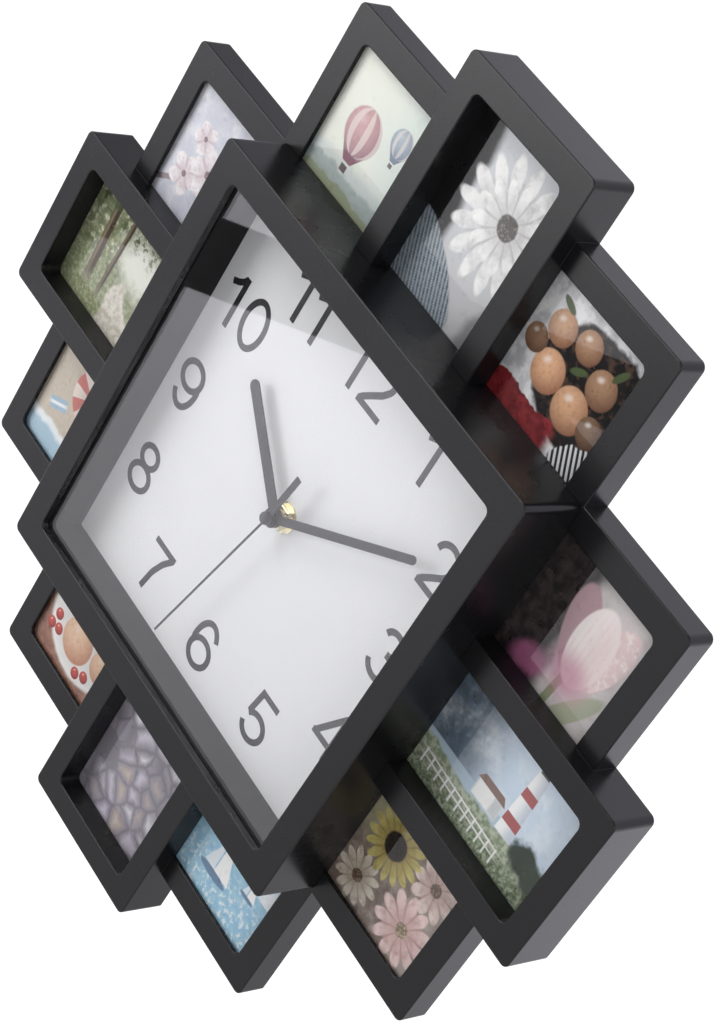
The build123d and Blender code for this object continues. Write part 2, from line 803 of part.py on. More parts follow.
def movement_case():
    """Front shell of the movement, with the battery bay along its lower side."""
    body = slab(square(movement_half, movement_corner), movement_back, movement_front)
    inner = movement_half - movement_wall
    floor = movement_front - movement_wall
    train = block(-inner, inner, bay_top() + movement_wall, inner, movement_back - overrun, floor)
    train = fillet(train.edges().filter_by(Axis.Z), movement_corner - movement_wall)
    body -= train
    bay = block(-inner, inner, -inner, bay_top(), movement_back - overrun, floor)
    body -= bay
    side = block(-inner, inner, -movement_half - overrun, -inner + overrun,
                 movement_back - overrun, movement_back + battery_radius)
    body -= side
    x, y = reduction_place()
    post = 2 * reduction_arbor_radius
    body += disc(x, y, post, floor - slide_gap, floor)
    return body - disc(0, 0, sleeve_radius, floor - overrun, movement_front + overrun)


def movement_lid():
    """Rear lid of the movement, with bearings and the recess of the setting knob."""
    inner = movement_half - movement_wall - seat_gap
    low = bay_top() + movement_wall + seat_gap
    plate = block(-inner, inner, low, inner, movement_back, movement_back + cover_lid)
    plate = fillet(plate.edges().filter_by(Axis.Z), movement_corner - movement_wall)
    x, y = reduction_place()
    well = knob_radius + knob_recess_slack
    floor = movement_back + knob_thickness / 2
    plate += disc(x, y, well + cover_lid, movement_back, floor + cover_lid)
    plate -= disc(x, y, well, movement_back - overrun, floor)
    plate += disc(0, 0, 3 * seconds_radius, movement_back + cover_lid / 2, movement_back + 2 * cover_lid)
    plate -= disc(x, y, reduction_arbor_radius + running_gap, movement_back - overrun, floor + 2 * cover_lid)
    bearing = movement_back + cover_lid / 2
    for x, y in train_places():
        plate += disc(x, y, bearing_boss, bearing + slide_gap, bearing + cover_lid)
        plate -= disc(x, y, train_arbor_radius + running_gap, bearing, bearing + 2 * cover_lid)
    return plate - disc(0, 0, seconds_radius + running_gap, movement_back + cover_lid, floor + 3 * cover_lid)


def threaded_sleeve():
    """Brass sleeve that clamps the movement to the dial and carries the hour tube."""
    floor = movement_front - movement_wall
    top = dial_front + washer_thickness + nut_thickness + sleeve_above_nut
    tube = disc(0, 0, sleeve_radius, floor, top)
    return tube - disc(0, 0, hour_tube_radius + running_gap, floor - overrun, top + overrun)


def rubber_cushion():
    """Rubber washer between movement and dial."""
    ring = Circle(cushion_radius) - Circle(sleeve_radius)
    return slab(ring, movement_front, dial_back)


def brass_washer():
    """Round washer on the dial."""
    ring = Circle(washer_radius) - Circle(sleeve_radius)
    return slab(ring, dial_front, dial_front + washer_thickness)


def hex_nut():
    """Hexagon nut on the sleeve."""
    low = dial_front + washer_thickness
    corner = nut_flats / math.sqrt(3)
    nut = slab(RegularPolygon(corner, 6) - Circle(sleeve_radius), low, low + nut_thickness)
    return chamfer(nut.faces().sort_by(Axis.Z)[-1].outer_wire().edges(), sleeve_radius / 10)


def bar_hand(length, width, bore, plane, angle):
    """Straight hand with a round tip and a raised hub."""
    bar = Pos(0, length / 2 - width / 4) * Rectangle(width, length - width / 2)
    bar += Pos(0, length - width / 2) * Circle(width / 2)
    bar += Circle(hub_radius)
    body = slab(bar, plane, plane + hand_thickness)
    body += disc(0, 0, (hub_radius + bore) / 2, plane, plane + hub_height)
    body -= disc(0, 0, bore, plane - overrun, plane + hub_height + overrun)
    return Rot(0, 0, angle) * body


def seconds_hand():
    """Thin pointer with a short wide tail."""
    pointer = Pos(0, seconds_length / 2) * Rectangle(seconds_width, seconds_length)
    tail = Pos(0, -(tail_start + tail_length) / 2) * Rectangle(tail_width, tail_length - tail_start)
    face = pointer + Rot(0, 0, tail_lean) * tail + Circle(seconds_hub_radius)
    body = slab(face, seconds_plane, seconds_plane + hand_thickness)
    body -= disc(0, 0, seconds_radius, seconds_plane - overrun, seconds_plane + overrun)
    return Rot(0, 0, seconds_angle) * body


def hand_cap():
    """Domed cap over the end of the arbors."""
    low = seconds_plane + hand_thickness
    wall = disc(0, 0, cap_radius, low, low + cap_height)
    body = fillet(wall.faces().sort_by(Axis.Z)[-1].edges(), cap_height * 3 / 4)
    return body - disc(0, 0, seconds_radius, low - overrun, low + cap_height / 2)


def setting_knob():
    """Knurled knob for setting the time, on the reduction arbor."""
    x, y = reduction_place()
    high = movement_back + knob_thickness / 2 - slide_gap
    low = high - knob_thickness
    face = Circle(knob_radius)
    for turn in range(knob_grips):
        notch = Pos(knob_radius, 0) * Circle(knob_radius / 12)
        face -= Rot(0, 0, turn * 360 / knob_grips) * notch
    return Pos(x, y, 0) * slab(face, low, high)


def cell_place():
    """Ends and axis of the cell, pushed by its spring against the positive contact."""
    positive = movement_half - movement_wall - 2 * contact_thickness - battery_nub_length - slide_gap
    y = (bay_top() - movement_half + movement_wall) / 2
    height = movement_front - movement_wall - slide_gap - battery_radius
    return positive - battery_length, positive, y, height


def along_x(x_low, x_high, radius_low, radius_high):
    """Round solid about X, straight or tapered."""
    section = Polyline((x_low, 0), (x_low, radius_low), (x_high, radius_high), (x_high, 0), close=True)
    return revolve(make_face(section), Axis.X)


def battery():
    """Cell lying in its bay."""
    negative, positive, y, height = cell_place()
    cell = along_x(negative, positive, battery_radius, battery_radius)
    cell += along_x(positive, positive + battery_nub_length, battery_nub_radius, battery_nub_radius)
    return Pos(0, y, height) * cell


def battery_contacts():
    """Flat positive contact with a dimple, and a tapered spring at the other end."""
    negative, _, y, height = cell_place()
    inner = movement_half - movement_wall
    low = movement_back + battery_radius / 2
    high = movement_front - movement_wall
    plates = [
        block(inner - contact_thickness, inner, y - contact_width / 2, y + contact_width / 2, low, high),
        block(-inner, contact_thickness - inner, y - contact_width / 2, y + contact_width / 2, low, high),
    ]
    dimple = along_x(inner - 2 * contact_thickness, inner - contact_thickness,
                     battery_nub_radius / 2, battery_nub_radius)
    spring = along_x(contact_thickness - inner, negative - slide_gap, contact_width / 2, battery_nub_radius)
    return [plates[0] + Pos(0, y, height) * dimple, plates[1] + Pos(0, y, height) * spring]


def circuit_board():
    """Small board with the oscillator, beside the wheels."""
    inner = movement_half - movement_wall
    x, _ = step_place()
    x_low = x + module_step * wheel_teeth / 2 + 2 * module_slow
    _, _, _, seconds = layers()
    low = seconds + wheel_thickness
    board = block(x_low, inner - movement_wall, 0, inner - movement_wall, low, low + board_inner_thickness)
    can = block(x_low + movement_wall, inner - 3 * movement_wall, movement_wall * 2, movement_wall * 4,
                low + board_inner_thickness, low + 3 * board_inner_thickness)
    stand = block(inner - 4 * movement_wall, inner - movement_wall, 0, movement_wall,
                  low + board_inner_thickness, movement_front - movement_wall)
    return board + can + stand


def motor_coil():
    """Coil of the stepping motor, with its core on the legs of the stator."""
    low, high, y, height = coil_place()
    top = movement_front - movement_wall
    start = low + stator_leg + slide_gap
    flange = coil_radius / 8
    bobbin = along_x(start, start + coil_length, coil_radius * 7 / 8, coil_radius * 7 / 8)
    for x in (start, start + coil_length - flange):
        bobbin += along_x(x, x + flange, coil_radius, coil_radius)
    bobbin = Pos(0, y, height) * bobbin
    core = block(low, high, y - coil_core, y + coil_core, height - coil_core, height + coil_core)
    feet = block(start, start + coil_length, y - coil_core, y + coil_core, height, top)
    return bobbin + core + feet


def write(name, shape):
    """Save one piece, upright, under its own name."""
    pieces = shape if isinstance(shape, (list, tuple)) else [shape]
    upright = [stand_up(solid) for piece in pieces for solid in piece.solids()]
    export_step(upright[0] if len(upright) == 1 else Compound(children=upright), f"parts/{name}.step")


def main():
    os.makedirs("parts", exist_ok=True)
    write("clock_frame", clock_frame())
    write("clock_glass", clock_glass())
    write("glass_spacer", glass_spacer())
    write("dial_plate", dial_plate())
    frame = photo_frame()
    sheets = {
        "photo_panes": photo_sheets(slack / 2, pane_front - pane_thickness, pane_front),
        "photo_prints": photo_sheets(0, print_back, pane_front - pane_thickness),
        "backing_boards": photo_sheets(slack / 2, frame_back, print_back),
    }
    for side, angle in sides.items():
        write(f"photo_frame_{side}", Rot(0, 0, angle) * frame)
        for name, group in sheets.items():
            write(f"{name}_{side}", [Rot(0, 0, angle) * sheet for sheet in group])
    for name, (place, angle) in clip_places().items():
        write(f"turn_clip_{name}", turn_clip(place, angle))
    write("clip_rivets", clip_rivets())
    write("rear_cover", rear_cover())
    write("case_screws", case_screws())
    write("hanger_plate", hanger_plate())
    write("hanger_rivets", hanger_rivets())
    write("movement_case", movement_case())
    write("movement_lid", movement_lid())
    write("threaded_sleeve", threaded_sleeve())
    write("rubber_cushion", rubber_cushion())
    write("brass_washer", brass_washer())
    write("hex_nut", hex_nut())
    write("hour_wheel", hour_wheel())
    write("minute_arbor", minute_arbor())
    write("seconds_arbor", seconds_arbor())
    write("reduction_wheel", reduction_wheel())
    write("setting_knob", setting_knob())
    write("third_wheel", third_wheel())
    write("centre_wheel", centre_wheel())
    write("step_wheel", step_wheel())
    write("rotor", rotor())
    write("stator_plate", stator_plate())
    write("train_bridge", train_bridge())
    hour = bar_hand(hour_length, hour_width, hour_tube_radius, hour_plane, hour_angle)
    write("hour_hand", hour)
    minute = bar_hand(minute_length, minute_width, minute_tube_radius, minute_plane, minute_angle)
    write("minute_hand", minute)
    write("seconds_hand", seconds_hand())
    write("hand_cap", hand_cap())
    write("battery", battery())
    write("battery_contacts", battery_contacts())
    write("circuit_board", circuit_board())
    write("motor_coil", motor_coil())


main()
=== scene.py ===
"""Looks of a square wall clock with twelve photo frames around it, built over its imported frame.

The clock faces -Y, its wall is the plane y = 0 and Z is up. Places on the clock are given from the
hands' axis, to the right and up, in millimetres, and are turned into metres where they are used.
"""
import math

import bmesh
import bpy
from mathutils import Matrix, Vector


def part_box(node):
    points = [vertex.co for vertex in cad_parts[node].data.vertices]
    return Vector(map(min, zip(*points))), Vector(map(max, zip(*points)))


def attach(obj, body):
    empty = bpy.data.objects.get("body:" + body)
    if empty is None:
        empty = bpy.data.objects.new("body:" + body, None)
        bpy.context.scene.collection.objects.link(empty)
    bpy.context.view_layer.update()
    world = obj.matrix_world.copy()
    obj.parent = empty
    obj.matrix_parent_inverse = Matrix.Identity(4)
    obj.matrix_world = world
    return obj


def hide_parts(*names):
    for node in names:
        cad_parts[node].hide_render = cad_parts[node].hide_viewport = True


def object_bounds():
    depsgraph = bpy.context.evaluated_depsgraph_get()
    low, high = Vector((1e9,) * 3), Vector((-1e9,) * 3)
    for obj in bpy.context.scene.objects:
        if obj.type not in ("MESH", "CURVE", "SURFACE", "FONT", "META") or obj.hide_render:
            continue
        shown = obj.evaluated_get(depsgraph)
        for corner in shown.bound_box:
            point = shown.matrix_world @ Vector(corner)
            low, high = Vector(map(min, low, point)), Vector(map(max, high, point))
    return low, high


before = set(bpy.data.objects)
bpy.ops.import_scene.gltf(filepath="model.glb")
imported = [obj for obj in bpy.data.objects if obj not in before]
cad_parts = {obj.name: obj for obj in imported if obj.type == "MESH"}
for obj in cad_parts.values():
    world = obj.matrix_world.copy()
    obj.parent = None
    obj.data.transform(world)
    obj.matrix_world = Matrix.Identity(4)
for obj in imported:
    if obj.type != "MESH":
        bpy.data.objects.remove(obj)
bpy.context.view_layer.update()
scene = bpy.context.scene
MM = 0.001

# Places that the frame gives
ring_low, ring_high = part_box("clock_frame")
AXIS = Vector(((ring_low.x + ring_high.x) / 2, 0, (ring_low.z + ring_high.z) / 2))
DIAL_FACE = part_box("dial_plate")[0].y
FLOOR_DROP = 0.25  # from the lowest corner of the hanging clock to the floor
FLOOR_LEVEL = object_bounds()[0].z - FLOOR_DROP

# Floor. For mirrored rays only, a dark strip is painted across it, as the glass shows it: a painted
# dark reflection. Shades are given as from, to, level at from and level at to, in metres along a
# way or from a point.
STRIP_ACROSS = (0.874, 0.485, 0.0)
STRIP_ALONG = (-0.485, 0.874, 0.0)
STRIP_NEAR = -0.995
STRIP_FAR = -1.130
STRIP_BLUR = 0.004
# Painted shade around the clock's foot and a painted glow behind the clock, seen only by mirrored
# rays
CLOCK_FOOT = (0.05, -0.15, FLOOR_LEVEL)
BEHIND = (0.65, 0.76, 0.0)  # way behind the clock to the brightest part of the floor
FADE_AT_FOOT = (0.25, 1.1, 0.22, 0.86)
FADE_ALONG_STRIP = (-0.72, -0.30, 0.50, 1.08)
GLOW_RISES = (0.16, 0.90, 0.0, 1.15)
GLOW_FALLS = (1.08, 1.40, 1.0, 0.80)
FLOOR_SEEN = 0.70  # light of the floor in camera rays, beside the lamps' light
FLOOR_WHITE = (0.55, 0.55, 0.55)
# Painted dark reflection: the colour of the strip, seen only by mirrored rays
PAINTED_STRIP_BLACK = (0.02, 0.02, 0.02)
FLOOR_SIZE = 6.0

# Walls and ceiling, as unit vectors from the clock, with shades of the same kind along them
COOL_WHITE = (0.97, 0.95, 1.05)  # tint of the studio in mirrored rays
UP = (0.0, 0.0, 1.0)
OVERHEAD_BEHIND = (-0.515, 0.685, 0.516)
RIGHT_BEHIND = (0.76, 0.64, -0.09)
OVERHEAD_SHADE = (0.2, 0.95, 0.95, 1.1)
RIGHT_SHADE = (-0.17, 0.12, 0.30, 1.02)
ABOVE_EYE_LEVEL = (0.1, 0.3)
WALLS_LIGHT = 0.55  # light of the walls in all but mirrored rays

# Lamps: name, place, size in metres and watts
SOFT_BOXES = (
    ("left soft box", (-1.10, -1.50, -0.10), 0.9, 11.0),
    ("top soft box", (-0.75, -0.85, 1.05), 0.7, 7.4),
    ("right soft box", (1.50, -0.90, 0.60), 0.9, 7.0),
)

# Camera, from the hands' axis
CAMERA_PLACE = Vector((0.5540, -0.7369, 0.5550))
CAMERA_AIM = Vector((0.0455, -0.0199, 0.0049))
CAMERA_ROLL = math.radians(33.27)
CAMERA_LENS = 89.6
CAMERA_SHIFT = (0.0090, 0.0722)

# Print, in mm. Numerals are placed by their middles, right and up from the hands' axis.
NUMERAL_HEIGHT = 25.6
NUMERAL_STROKE = 2.95
NUMERAL_GAP = 4.6
INK_THICKNESS = 0.08
PRINT_CORNER = 0.3
NUMERAL_PLACES = {
    "12": (-1.0, 77.5), "1": (44.2, 75.6), "2": (79.0, 46.9),
    "3": (80.8, 0.0), "4": (79.0, -46.9), "5": (45.0, -75.4),
    "6": (-1.0, -77.2), "7": (-46.1, -75.4), "8": (-81.3, -47.2),
    "9": (-83.2, 0.0), "10": (-75.0, 46.6), "11": (-47.6, 75.6),
}

# Shaders
MIX_COLOUR_SOCKETS = (0, 6, 7)  # factor and both colours, among the mix node's inputs
MIXED_COLOUR = 2
NOISE_SPAN = (0.3, 0.7)  # most of a noise's values lie within it
METAL_EDGE = 0.0002
SKIN_OUTPUTS = {"Colour": "colour", "Roughness": "value", "Normal": "vector"}


class Nodes:
    """Adds shader nodes to one material or group, and links them."""

    def __init__(self, tree):
        self.tree = tree

    def add(self, kind, values=None, **settings):
        """A shader node of this kind, with values or links for its sockets."""
        node = self.tree.nodes.new(f"ShaderNode{kind}")
        for name, value in settings.items():
            setattr(node, name, value)
        for socket, value in (values or {}).items():
            self.put(node.inputs[socket], value)
        return node

    def put(self, socket, value):
        if isinstance(value, bpy.types.NodeSocket):
            self.tree.links.new(value, socket)
        elif socket.type == "RGBA":
            socket.default_value = (*value, 1.0)
        else:
            socket.default_value = value

    def math(self, operation, *values):
        return self.add("Math", dict(enumerate(values)), operation=operation).outputs[0]

    def chain(self, operation, values):
        """One operation over any number of values, from the first to the last."""
        made, *others = values
        for value in others:
            made = self.math(operation, made, value)
        return made

    def times(self, *values):
        return self.chain("MULTIPLY", values)

    def plus(self, *values):
        return self.chain("ADD", values)

    def minus(self, first, second):
        return self.math("SUBTRACT", first, second)

    def outside(self, mask):
        return self.minus(1.0, mask)

    def vector(self, operation, *values, out="Vector"):
        node = self.add("VectorMath", dict(enumerate(values)), operation=operation)
        return node.outputs[out]

    def dot(self, first, second):
        return self.vector("DOT_PRODUCT", first, second, out="Value")

    def length(self, place):
        return self.vector("LENGTH", place, out="Value")

    def scaled(self, place, factor):
        values = {0: place, "Scale": factor}
        return self.add("VectorMath", values, operation="SCALE").outputs[0]

    def parts(self, place):
        """A vector's three parts: sockets X, Y and Z."""
        return self.add("SeparateXYZ", {0: place}).outputs

    def blend(self, factor, first, second):
        """The first colour where the factor is 0, the second where it is 1."""
        node = self.add("Mix", data_type="RGBA")
        for socket, value in zip(MIX_COLOUR_SOCKETS, (factor, first, second)):
            self.put(node.inputs[socket], value)
        return node.outputs[MIXED_COLOUR]

    def spread(self, value, low, high, out_low=0.0, out_high=1.0, smooth=True):
        """Leads a value from low to high over to out_low to out_high, and holds it beyond them."""
        kind = "SMOOTHSTEP" if smooth else "LINEAR"
        numbers = dict(enumerate((value, low, high, out_low, out_high)))
        return self.add("MapRange", numbers, interpolation_type=kind).outputs[0]

    def noise(self, place, scale, detail=2.0, roughness=0.5, out="Fac"):
        values = {"Vector": place, "Scale": scale, "Detail": detail, "Roughness": roughness}
        return self.add("TexNoise", values).outputs[out]

    def vary(self, noise, low=0.0, high=1.0):
        """Noise, led from its usual span over to low to high."""
        return self.spread(noise, *NOISE_SPAN, low, high)

    def cells(self, place, scale, feature="F1", randomness=1.0, out="Distance"):
        values = {"Vector": place, "Scale": scale, "Randomness": randomness}
        return self.add("TexVoronoi", values, feature=feature).outputs[out]

    def here(self):
        return self.add("TexCoord").outputs["Object"]

    def bump(self, height, distance, strength=1.0, normal=None):
        values = {"Height": height, "Distance": distance, "Strength": strength}
        if normal is not None:
            values["Normal"] = normal
        return self.add("Bump", values).outputs["Normal"]

    def group(self, tree, **values):
        node = self.add("Group", node_tree=tree)
        for name, value in values.items():
            self.put(node.inputs[name.capitalize()], value)
        return node.outputs


def grey(value):
    return (value, value, value)


def toned(paint, share):
    return tuple(part * share for part in paint)


def new_group(name, inputs, outputs):
    """A shader node group with named sockets: its builder, its inputs and its output node."""
    tree = bpy.data.node_groups.new(name, "ShaderNodeTree")
    kinds = {"value": "NodeSocketFloat", "colour": "NodeSocketColor", "vector": "NodeSocketVector"}
    for way, sockets in (("INPUT", inputs), ("OUTPUT", outputs)):
        for socket, kind in sockets.items():
            tree.interface.new_socket(socket, in_out=way, socket_type=kinds[kind])
    build = Nodes(tree)
    given, out = (tree.nodes.new(f"NodeGroup{end}") for end in ("Input", "Output"))
    return build, given.outputs, out.inputs


class Finish(Nodes):
    """A material with one Principled shader, and the constant sockets of that."""

    def __init__(self, name, **constants):
        self.material = bpy.data.materials.new(name)
        self.material.use_nodes = True
        super().__init__(self.material.node_tree)
        self.tree.nodes.clear()
        self.shader = self.add("BsdfPrincipled")
        for socket, value in constants.items():
            self.shader.inputs[socket.replace("_", " ")].default_value = value
        self.end = self.add("OutputMaterial").inputs["Surface"]
        self.put(self.end, self.shader.outputs[0])

    def give(self, **sockets):
        """The material, with these sockets of its shader linked or set."""
        for socket, value in sockets.items():
            self.put(self.shader.inputs[socket.replace("_", " ")], value)
        return self.material

    def surface(self, paint, roughness, normal):
        return self.give(Base_Color=paint, Roughness=roughness, Normal=normal)


# Shared effects

def make_worn_edge():
    """Rounds an edge in its shading, and gives a mask of where it would be rubbed."""
    inputs = {"Radius": "value", "Rub": "value"}
    build, given, out = new_group("worn edge", inputs, {"Mask": "value", "Normal": "vector"})
    rounded = build.add("Bevel", {"Radius": given["Radius"]}, samples=6).outputs[0]
    flat = build.add("NewGeometry").outputs["Normal"]
    bent = build.spread(build.dot(rounded, flat), 0.995, 0.80)
    patches = build.spread(build.noise(build.here(), 90.0, 4.0, 0.6), 0.42, 0.62)
    build.put(out["Mask"], build.times(bent, patches, given["Rub"]))
    build.put(out["Normal"], rounded)
    return build.tree


def make_moulded_skin():
    """The fine sparkle texture, slow shade changes and faint sheen patches of moulded plastic."""
    inputs = {"Base": "colour", "Worn": "colour", "Rub": "value", "Gloss": "value",
              "Grain": "value", "Depth": "value", "Radius": "value"}
    build, given, out = new_group("moulded skin", inputs, SKIN_OUTPUTS)
    place = build.here()
    edge = build.group(WORN_EDGE, radius=given["Radius"], rub=given["Rub"])
    shade = build.vary(build.noise(place, 14.0, 3.0), 0.92, 1.08)
    speck = build.noise(place, given["Grain"], 2.0, 0.7)
    flecks = build.spread(speck, 0.62, 0.78, 1.0, 1.12)
    flecked = build.scaled(build.scaled(given["Base"], shade), flecks)
    build.put(out["Colour"], build.blend(edge["Mask"], flecked, given["Worn"]))
    sheen = build.vary(build.noise(place, 32.0, 4.0, 0.65), -0.01, 0.01)
    rubbed = build.times(edge["Mask"], -0.08)
    build.put(out["Roughness"], build.plus(given["Gloss"], sheen, rubbed))
    build.put(out["Normal"], build.bump(speck, given["Depth"], 1.0, edge["Normal"]))
    return build.tree


def make_brushed_metal():
    """Fine rolled or turned lines, light scratches and dull spots on metal."""
    inputs = {"Base": "colour", "Dull": "colour", "Gloss": "value", "Stretch": "vector",
              "Radius": "value"}
    build, given, out = new_group("brushed metal", inputs, SKIN_OUTPUTS)
    place = build.here()
    edge = build.group(WORN_EDGE, radius=given["Radius"], rub=1.0)
    lines = build.noise(build.vector("MULTIPLY", place, given["Stretch"]), 1.0, 3.0, 0.7)
    spots = build.spread(build.noise(place, 160.0, 4.0, 0.65), 0.5, 0.72)
    build.put(out["Colour"], build.blend(spots, given["Base"], given["Dull"]))
    lined = build.vary(lines, -0.07, 0.07)
    build.put(out["Roughness"], build.plus(given["Gloss"], lined, build.times(spots, 0.16)))
    build.put(out["Normal"], build.bump(lines, 0.00002, 0.6, edge["Normal"]))
    return build.tree


def make_handled_glass():
    """Faint wiped streaks on glass, as roughness that leaves it almost clear."""
    build, given, out = new_group("handled glass", {"Streaks": "value"}, {"Roughness": "value"})
    place = build.here()
    streaks = build.noise(build.vector("MULTIPLY", place, (60.0, 60.0, 9.0)), 1.0, 4.0, 0.6)
    wiped = build.spread(streaks, 0.45, 0.8)
    build.put(out["Roughness"], build.times(wiped, given["Streaks"]))
    return build.tree


WORN_EDGE = make_worn_edge()
MOULDED_SKIN = make_moulded_skin()
BRUSHED_METAL = make_brushed_metal()
HANDLED_GLASS = make_handled_glass()


# Finishes

def moulded(name, base, worn, gloss, rub=0.5, grain=4200.0, depth=0.0000012, radius=0.0003,
            sheen=0.34, **constants):
    """Plastic or rubber from a mould: its colours, and its gloss as a roughness."""
    build = Finish(name, Specular_IOR_Level=sheen, **constants)
    skin = build.group(MOULDED_SKIN, base=base, worn=worn, rub=rub, gloss=gloss, grain=grain,
                       depth=depth, radius=radius)
    return build.surface(skin["Colour"], skin["Roughness"], skin["Normal"])


def metal(name, base, dull, gloss, stretch):
    """Rolled or turned metal: its fine lines lie across the way of the largest stretch."""
    build = Finish(name, Metallic=1.0)
    skin = build.group(BRUSHED_METAL, base=base, dull=dull, gloss=gloss, stretch=stretch,
                       radius=METAL_EDGE)
    return build.surface(skin["Colour"], skin["Roughness"], skin["Normal"])


def clear(name, tint, ior, streaks):
    """Glass or a clear sheet. Lamps shine straight through it, so it casts no dark shadow."""
    build = Finish(name, IOR=ior, Transmission_Weight=1.0)
    path = build.add("LightPath").outputs
    soft = build.math("MAXIMUM", path["Is Shadow Ray"], path["Is Diffuse Ray"])
    open_way = build.add("BsdfTransparent", {"Color": tint}).outputs[0]
    mixed = build.add("MixShader", {0: soft, 1: build.shader.outputs[0], 2: open_way})
    build.put(build.end, mixed.outputs[0])
    wiped = build.group(HANDLED_GLASS, streaks=streaks)["Roughness"]
    return build.give(Base_Color=tint, Roughness=wiped)


def dial_enamel():
    """Matt white print on the dial sheet, with a trace of paper tooth."""
    build = Finish("dial white", Specular_IOR_Level=0.35)
    place = build.here()
    cloud = build.vary(build.noise(place, 9.0, 3.0))
    tooth = build.noise(place, 3200.0, 2.0, 0.6)
    white = build.blend(cloud, (0.785, 0.79, 0.80), (0.812, 0.815, 0.822))
    return build.surface(white, build.vary(tooth, 0.48, 0.51), build.bump(tooth, 0.0000005, 0.4))


def pressed_board():
    """Brown hardboard: matted fibres, darker specks and a fuzzy cut edge."""
    build = Finish("hardboard", Specular_IOR_Level=0.25)
    place = build.here()
    fibres = build.noise(build.vector("MULTIPLY", place, (900.0, 900.0, 420.0)), 1.0, 5.0, 0.75)
    across = build.noise(build.vector("MULTIPLY", place, (300.0, 900.0, 1100.0)), 1.0, 5.0, 0.75)
    mat = build.times(build.plus(fibres, across), 0.5)
    specks = build.spread(build.cells(place, 700.0), 0.16, 0.05)
    brown = build.blend(build.spread(mat, 0.38, 0.62), (0.10, 0.052, 0.026), (0.27, 0.160, 0.082))
    specked = build.blend(specks, brown, (0.055, 0.027, 0.014))
    return build.surface(specked, build.vary(mat, 0.62, 0.86), build.bump(mat, 0.00012, 0.8))


def cell_wrap():
    """Printed sleeve of a plain cell: dark green body and a copper-coloured positive end."""
    build = Finish("battery wrap", Metallic=0.35)
    low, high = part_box("battery")
    along = build.spread(build.parts(build.here())["X"], low.x, high.x, smooth=False)
    cap = build.spread(along, 0.745, 0.75)
    band = build.times(build.spread(along, 0.715, 0.72), build.spread(along, 0.735, 0.73))
    body = build.blend(cap, (0.018, 0.055, 0.045), (0.55, 0.26, 0.10))
    lined = build.blend(band, body, (0.62, 0.62, 0.60))
    ends = build.math("MAXIMUM", build.spread(along, 0.978, 0.982),
                      build.spread(along, 0.012, 0.008))
    sleeve = build.blend(ends, lined, (0.56, 0.55, 0.52))
    scuff = build.noise(build.here(), 420.0, 4.0, 0.7)
    rough = build.spread(scuff, 0.35, 0.75, 0.22, 0.42)
    return build.surface(sleeve, rough, build.bump(scuff, 0.00001, 0.5))


def solder_mask():
    """Green lacquered board with tinned tracks."""
    build = Finish("circuit green", Specular_IOR_Level=0.6)
    place = build.here()
    weave = build.add("TexBrick", {"Vector": place, "Scale": 260.0, "Mortar Size": 0.03})
    tracks = build.spread(build.cells(place, 240.0, feature="DISTANCE_TO_EDGE"), 0.10, 0.05)
    green = build.blend(weave.outputs["Fac"], (0.012, 0.11, 0.045), (0.02, 0.15, 0.07))
    board = build.blend(tracks, green, (0.04, 0.22, 0.10))
    rough = build.spread(tracks, 0.0, 1.0, 0.32, 0.22)
    return build.surface(board, rough, build.bump(tracks, 0.00003, 0.8))


def wound_wire():
    """Enamelled copper wire, wound side by side."""
    build = Finish("copper", Metallic=1.0, Coat_Weight=0.4, Coat_Roughness=0.15)
    place = build.here()
    turns = build.add("TexWave", {"Vector": place, "Scale": 900.0, "Distortion": 0.6},
                      bands_direction="X").outputs["Fac"]
    # Darker copper in the grooves between turns: painted shade
    shade = build.blend(turns, (0.42, 0.14, 0.045), (0.86, 0.38, 0.17))
    rough = build.spread(turns, 0.0, 1.0, 0.42, 0.26)
    return build.surface(shade, rough, build.bump(turns, 0.00006, 0.9))


def make_finishes():
    """The finish of every slot that the frame names."""
    charcoal = (0.0065, 0.0065, 0.0075)
    return {
        "frame_plastic": moulded("frame plastic", charcoal, (0.03, 0.03, 0.034), 0.27, rub=0.35),
        "spacer_plastic": moulded("spacer plastic", (0.006, 0.006, 0.007), grey(0.02), 0.68,
                                  rub=0.2, depth=0.0000005, sheen=0.12),
        "cover_plastic": moulded("cover plastic", (0.016, 0.016, 0.017), grey(0.05), 0.46,
                                 grain=1300.0, depth=0.00006),
        "movement_plastic": moulded("movement plastic", (0.010, 0.010, 0.011), grey(0.04), 0.40,
                                    grain=1500.0, depth=0.00005),
        "wheel_plastic": moulded("wheel plastic", (0.80, 0.79, 0.74), (0.86, 0.86, 0.82), 0.36,
                                 grain=1500.0, radius=0.0002),
        "rubber": moulded("rubber", grey(0.012), grey(0.03), 0.72, grain=900.0, depth=0.00005),
        "hand_black": moulded("hand black", (0.008, 0.008, 0.009), grey(0.06), 0.30, rub=0.3,
                              grain=2400.0, radius=0.00025, Coat_Weight=0.25, Coat_Roughness=0.12),
        "photo_paper": moulded("photo paper", (0.78, 0.78, 0.76), (0.7, 0.7, 0.68), 0.42,
                               grain=1500.0),
        "steel": metal("steel", (0.50, 0.51, 0.52), grey(0.34), 0.30, (60.0, 400.0, 2600.0)),
        "brass": metal("brass", (0.84, 0.78, 0.55), (0.58, 0.50, 0.30), 0.20, (900.0,) * 3),
        "glass": clear("dial glass", (0.985, 0.985, 0.99), 1.56, 0.02),
        "clear_pane": clear("photo pane", grey(0.99), 1.52, 0.03),
        "dial_white": dial_enamel(),
        "hardboard": pressed_board(),
        "battery_wrap": cell_wrap(),
        "circuit_green": solder_mask(),
        "copper": wound_wire(),
    }


FINISHES = make_finishes()


# Photographs

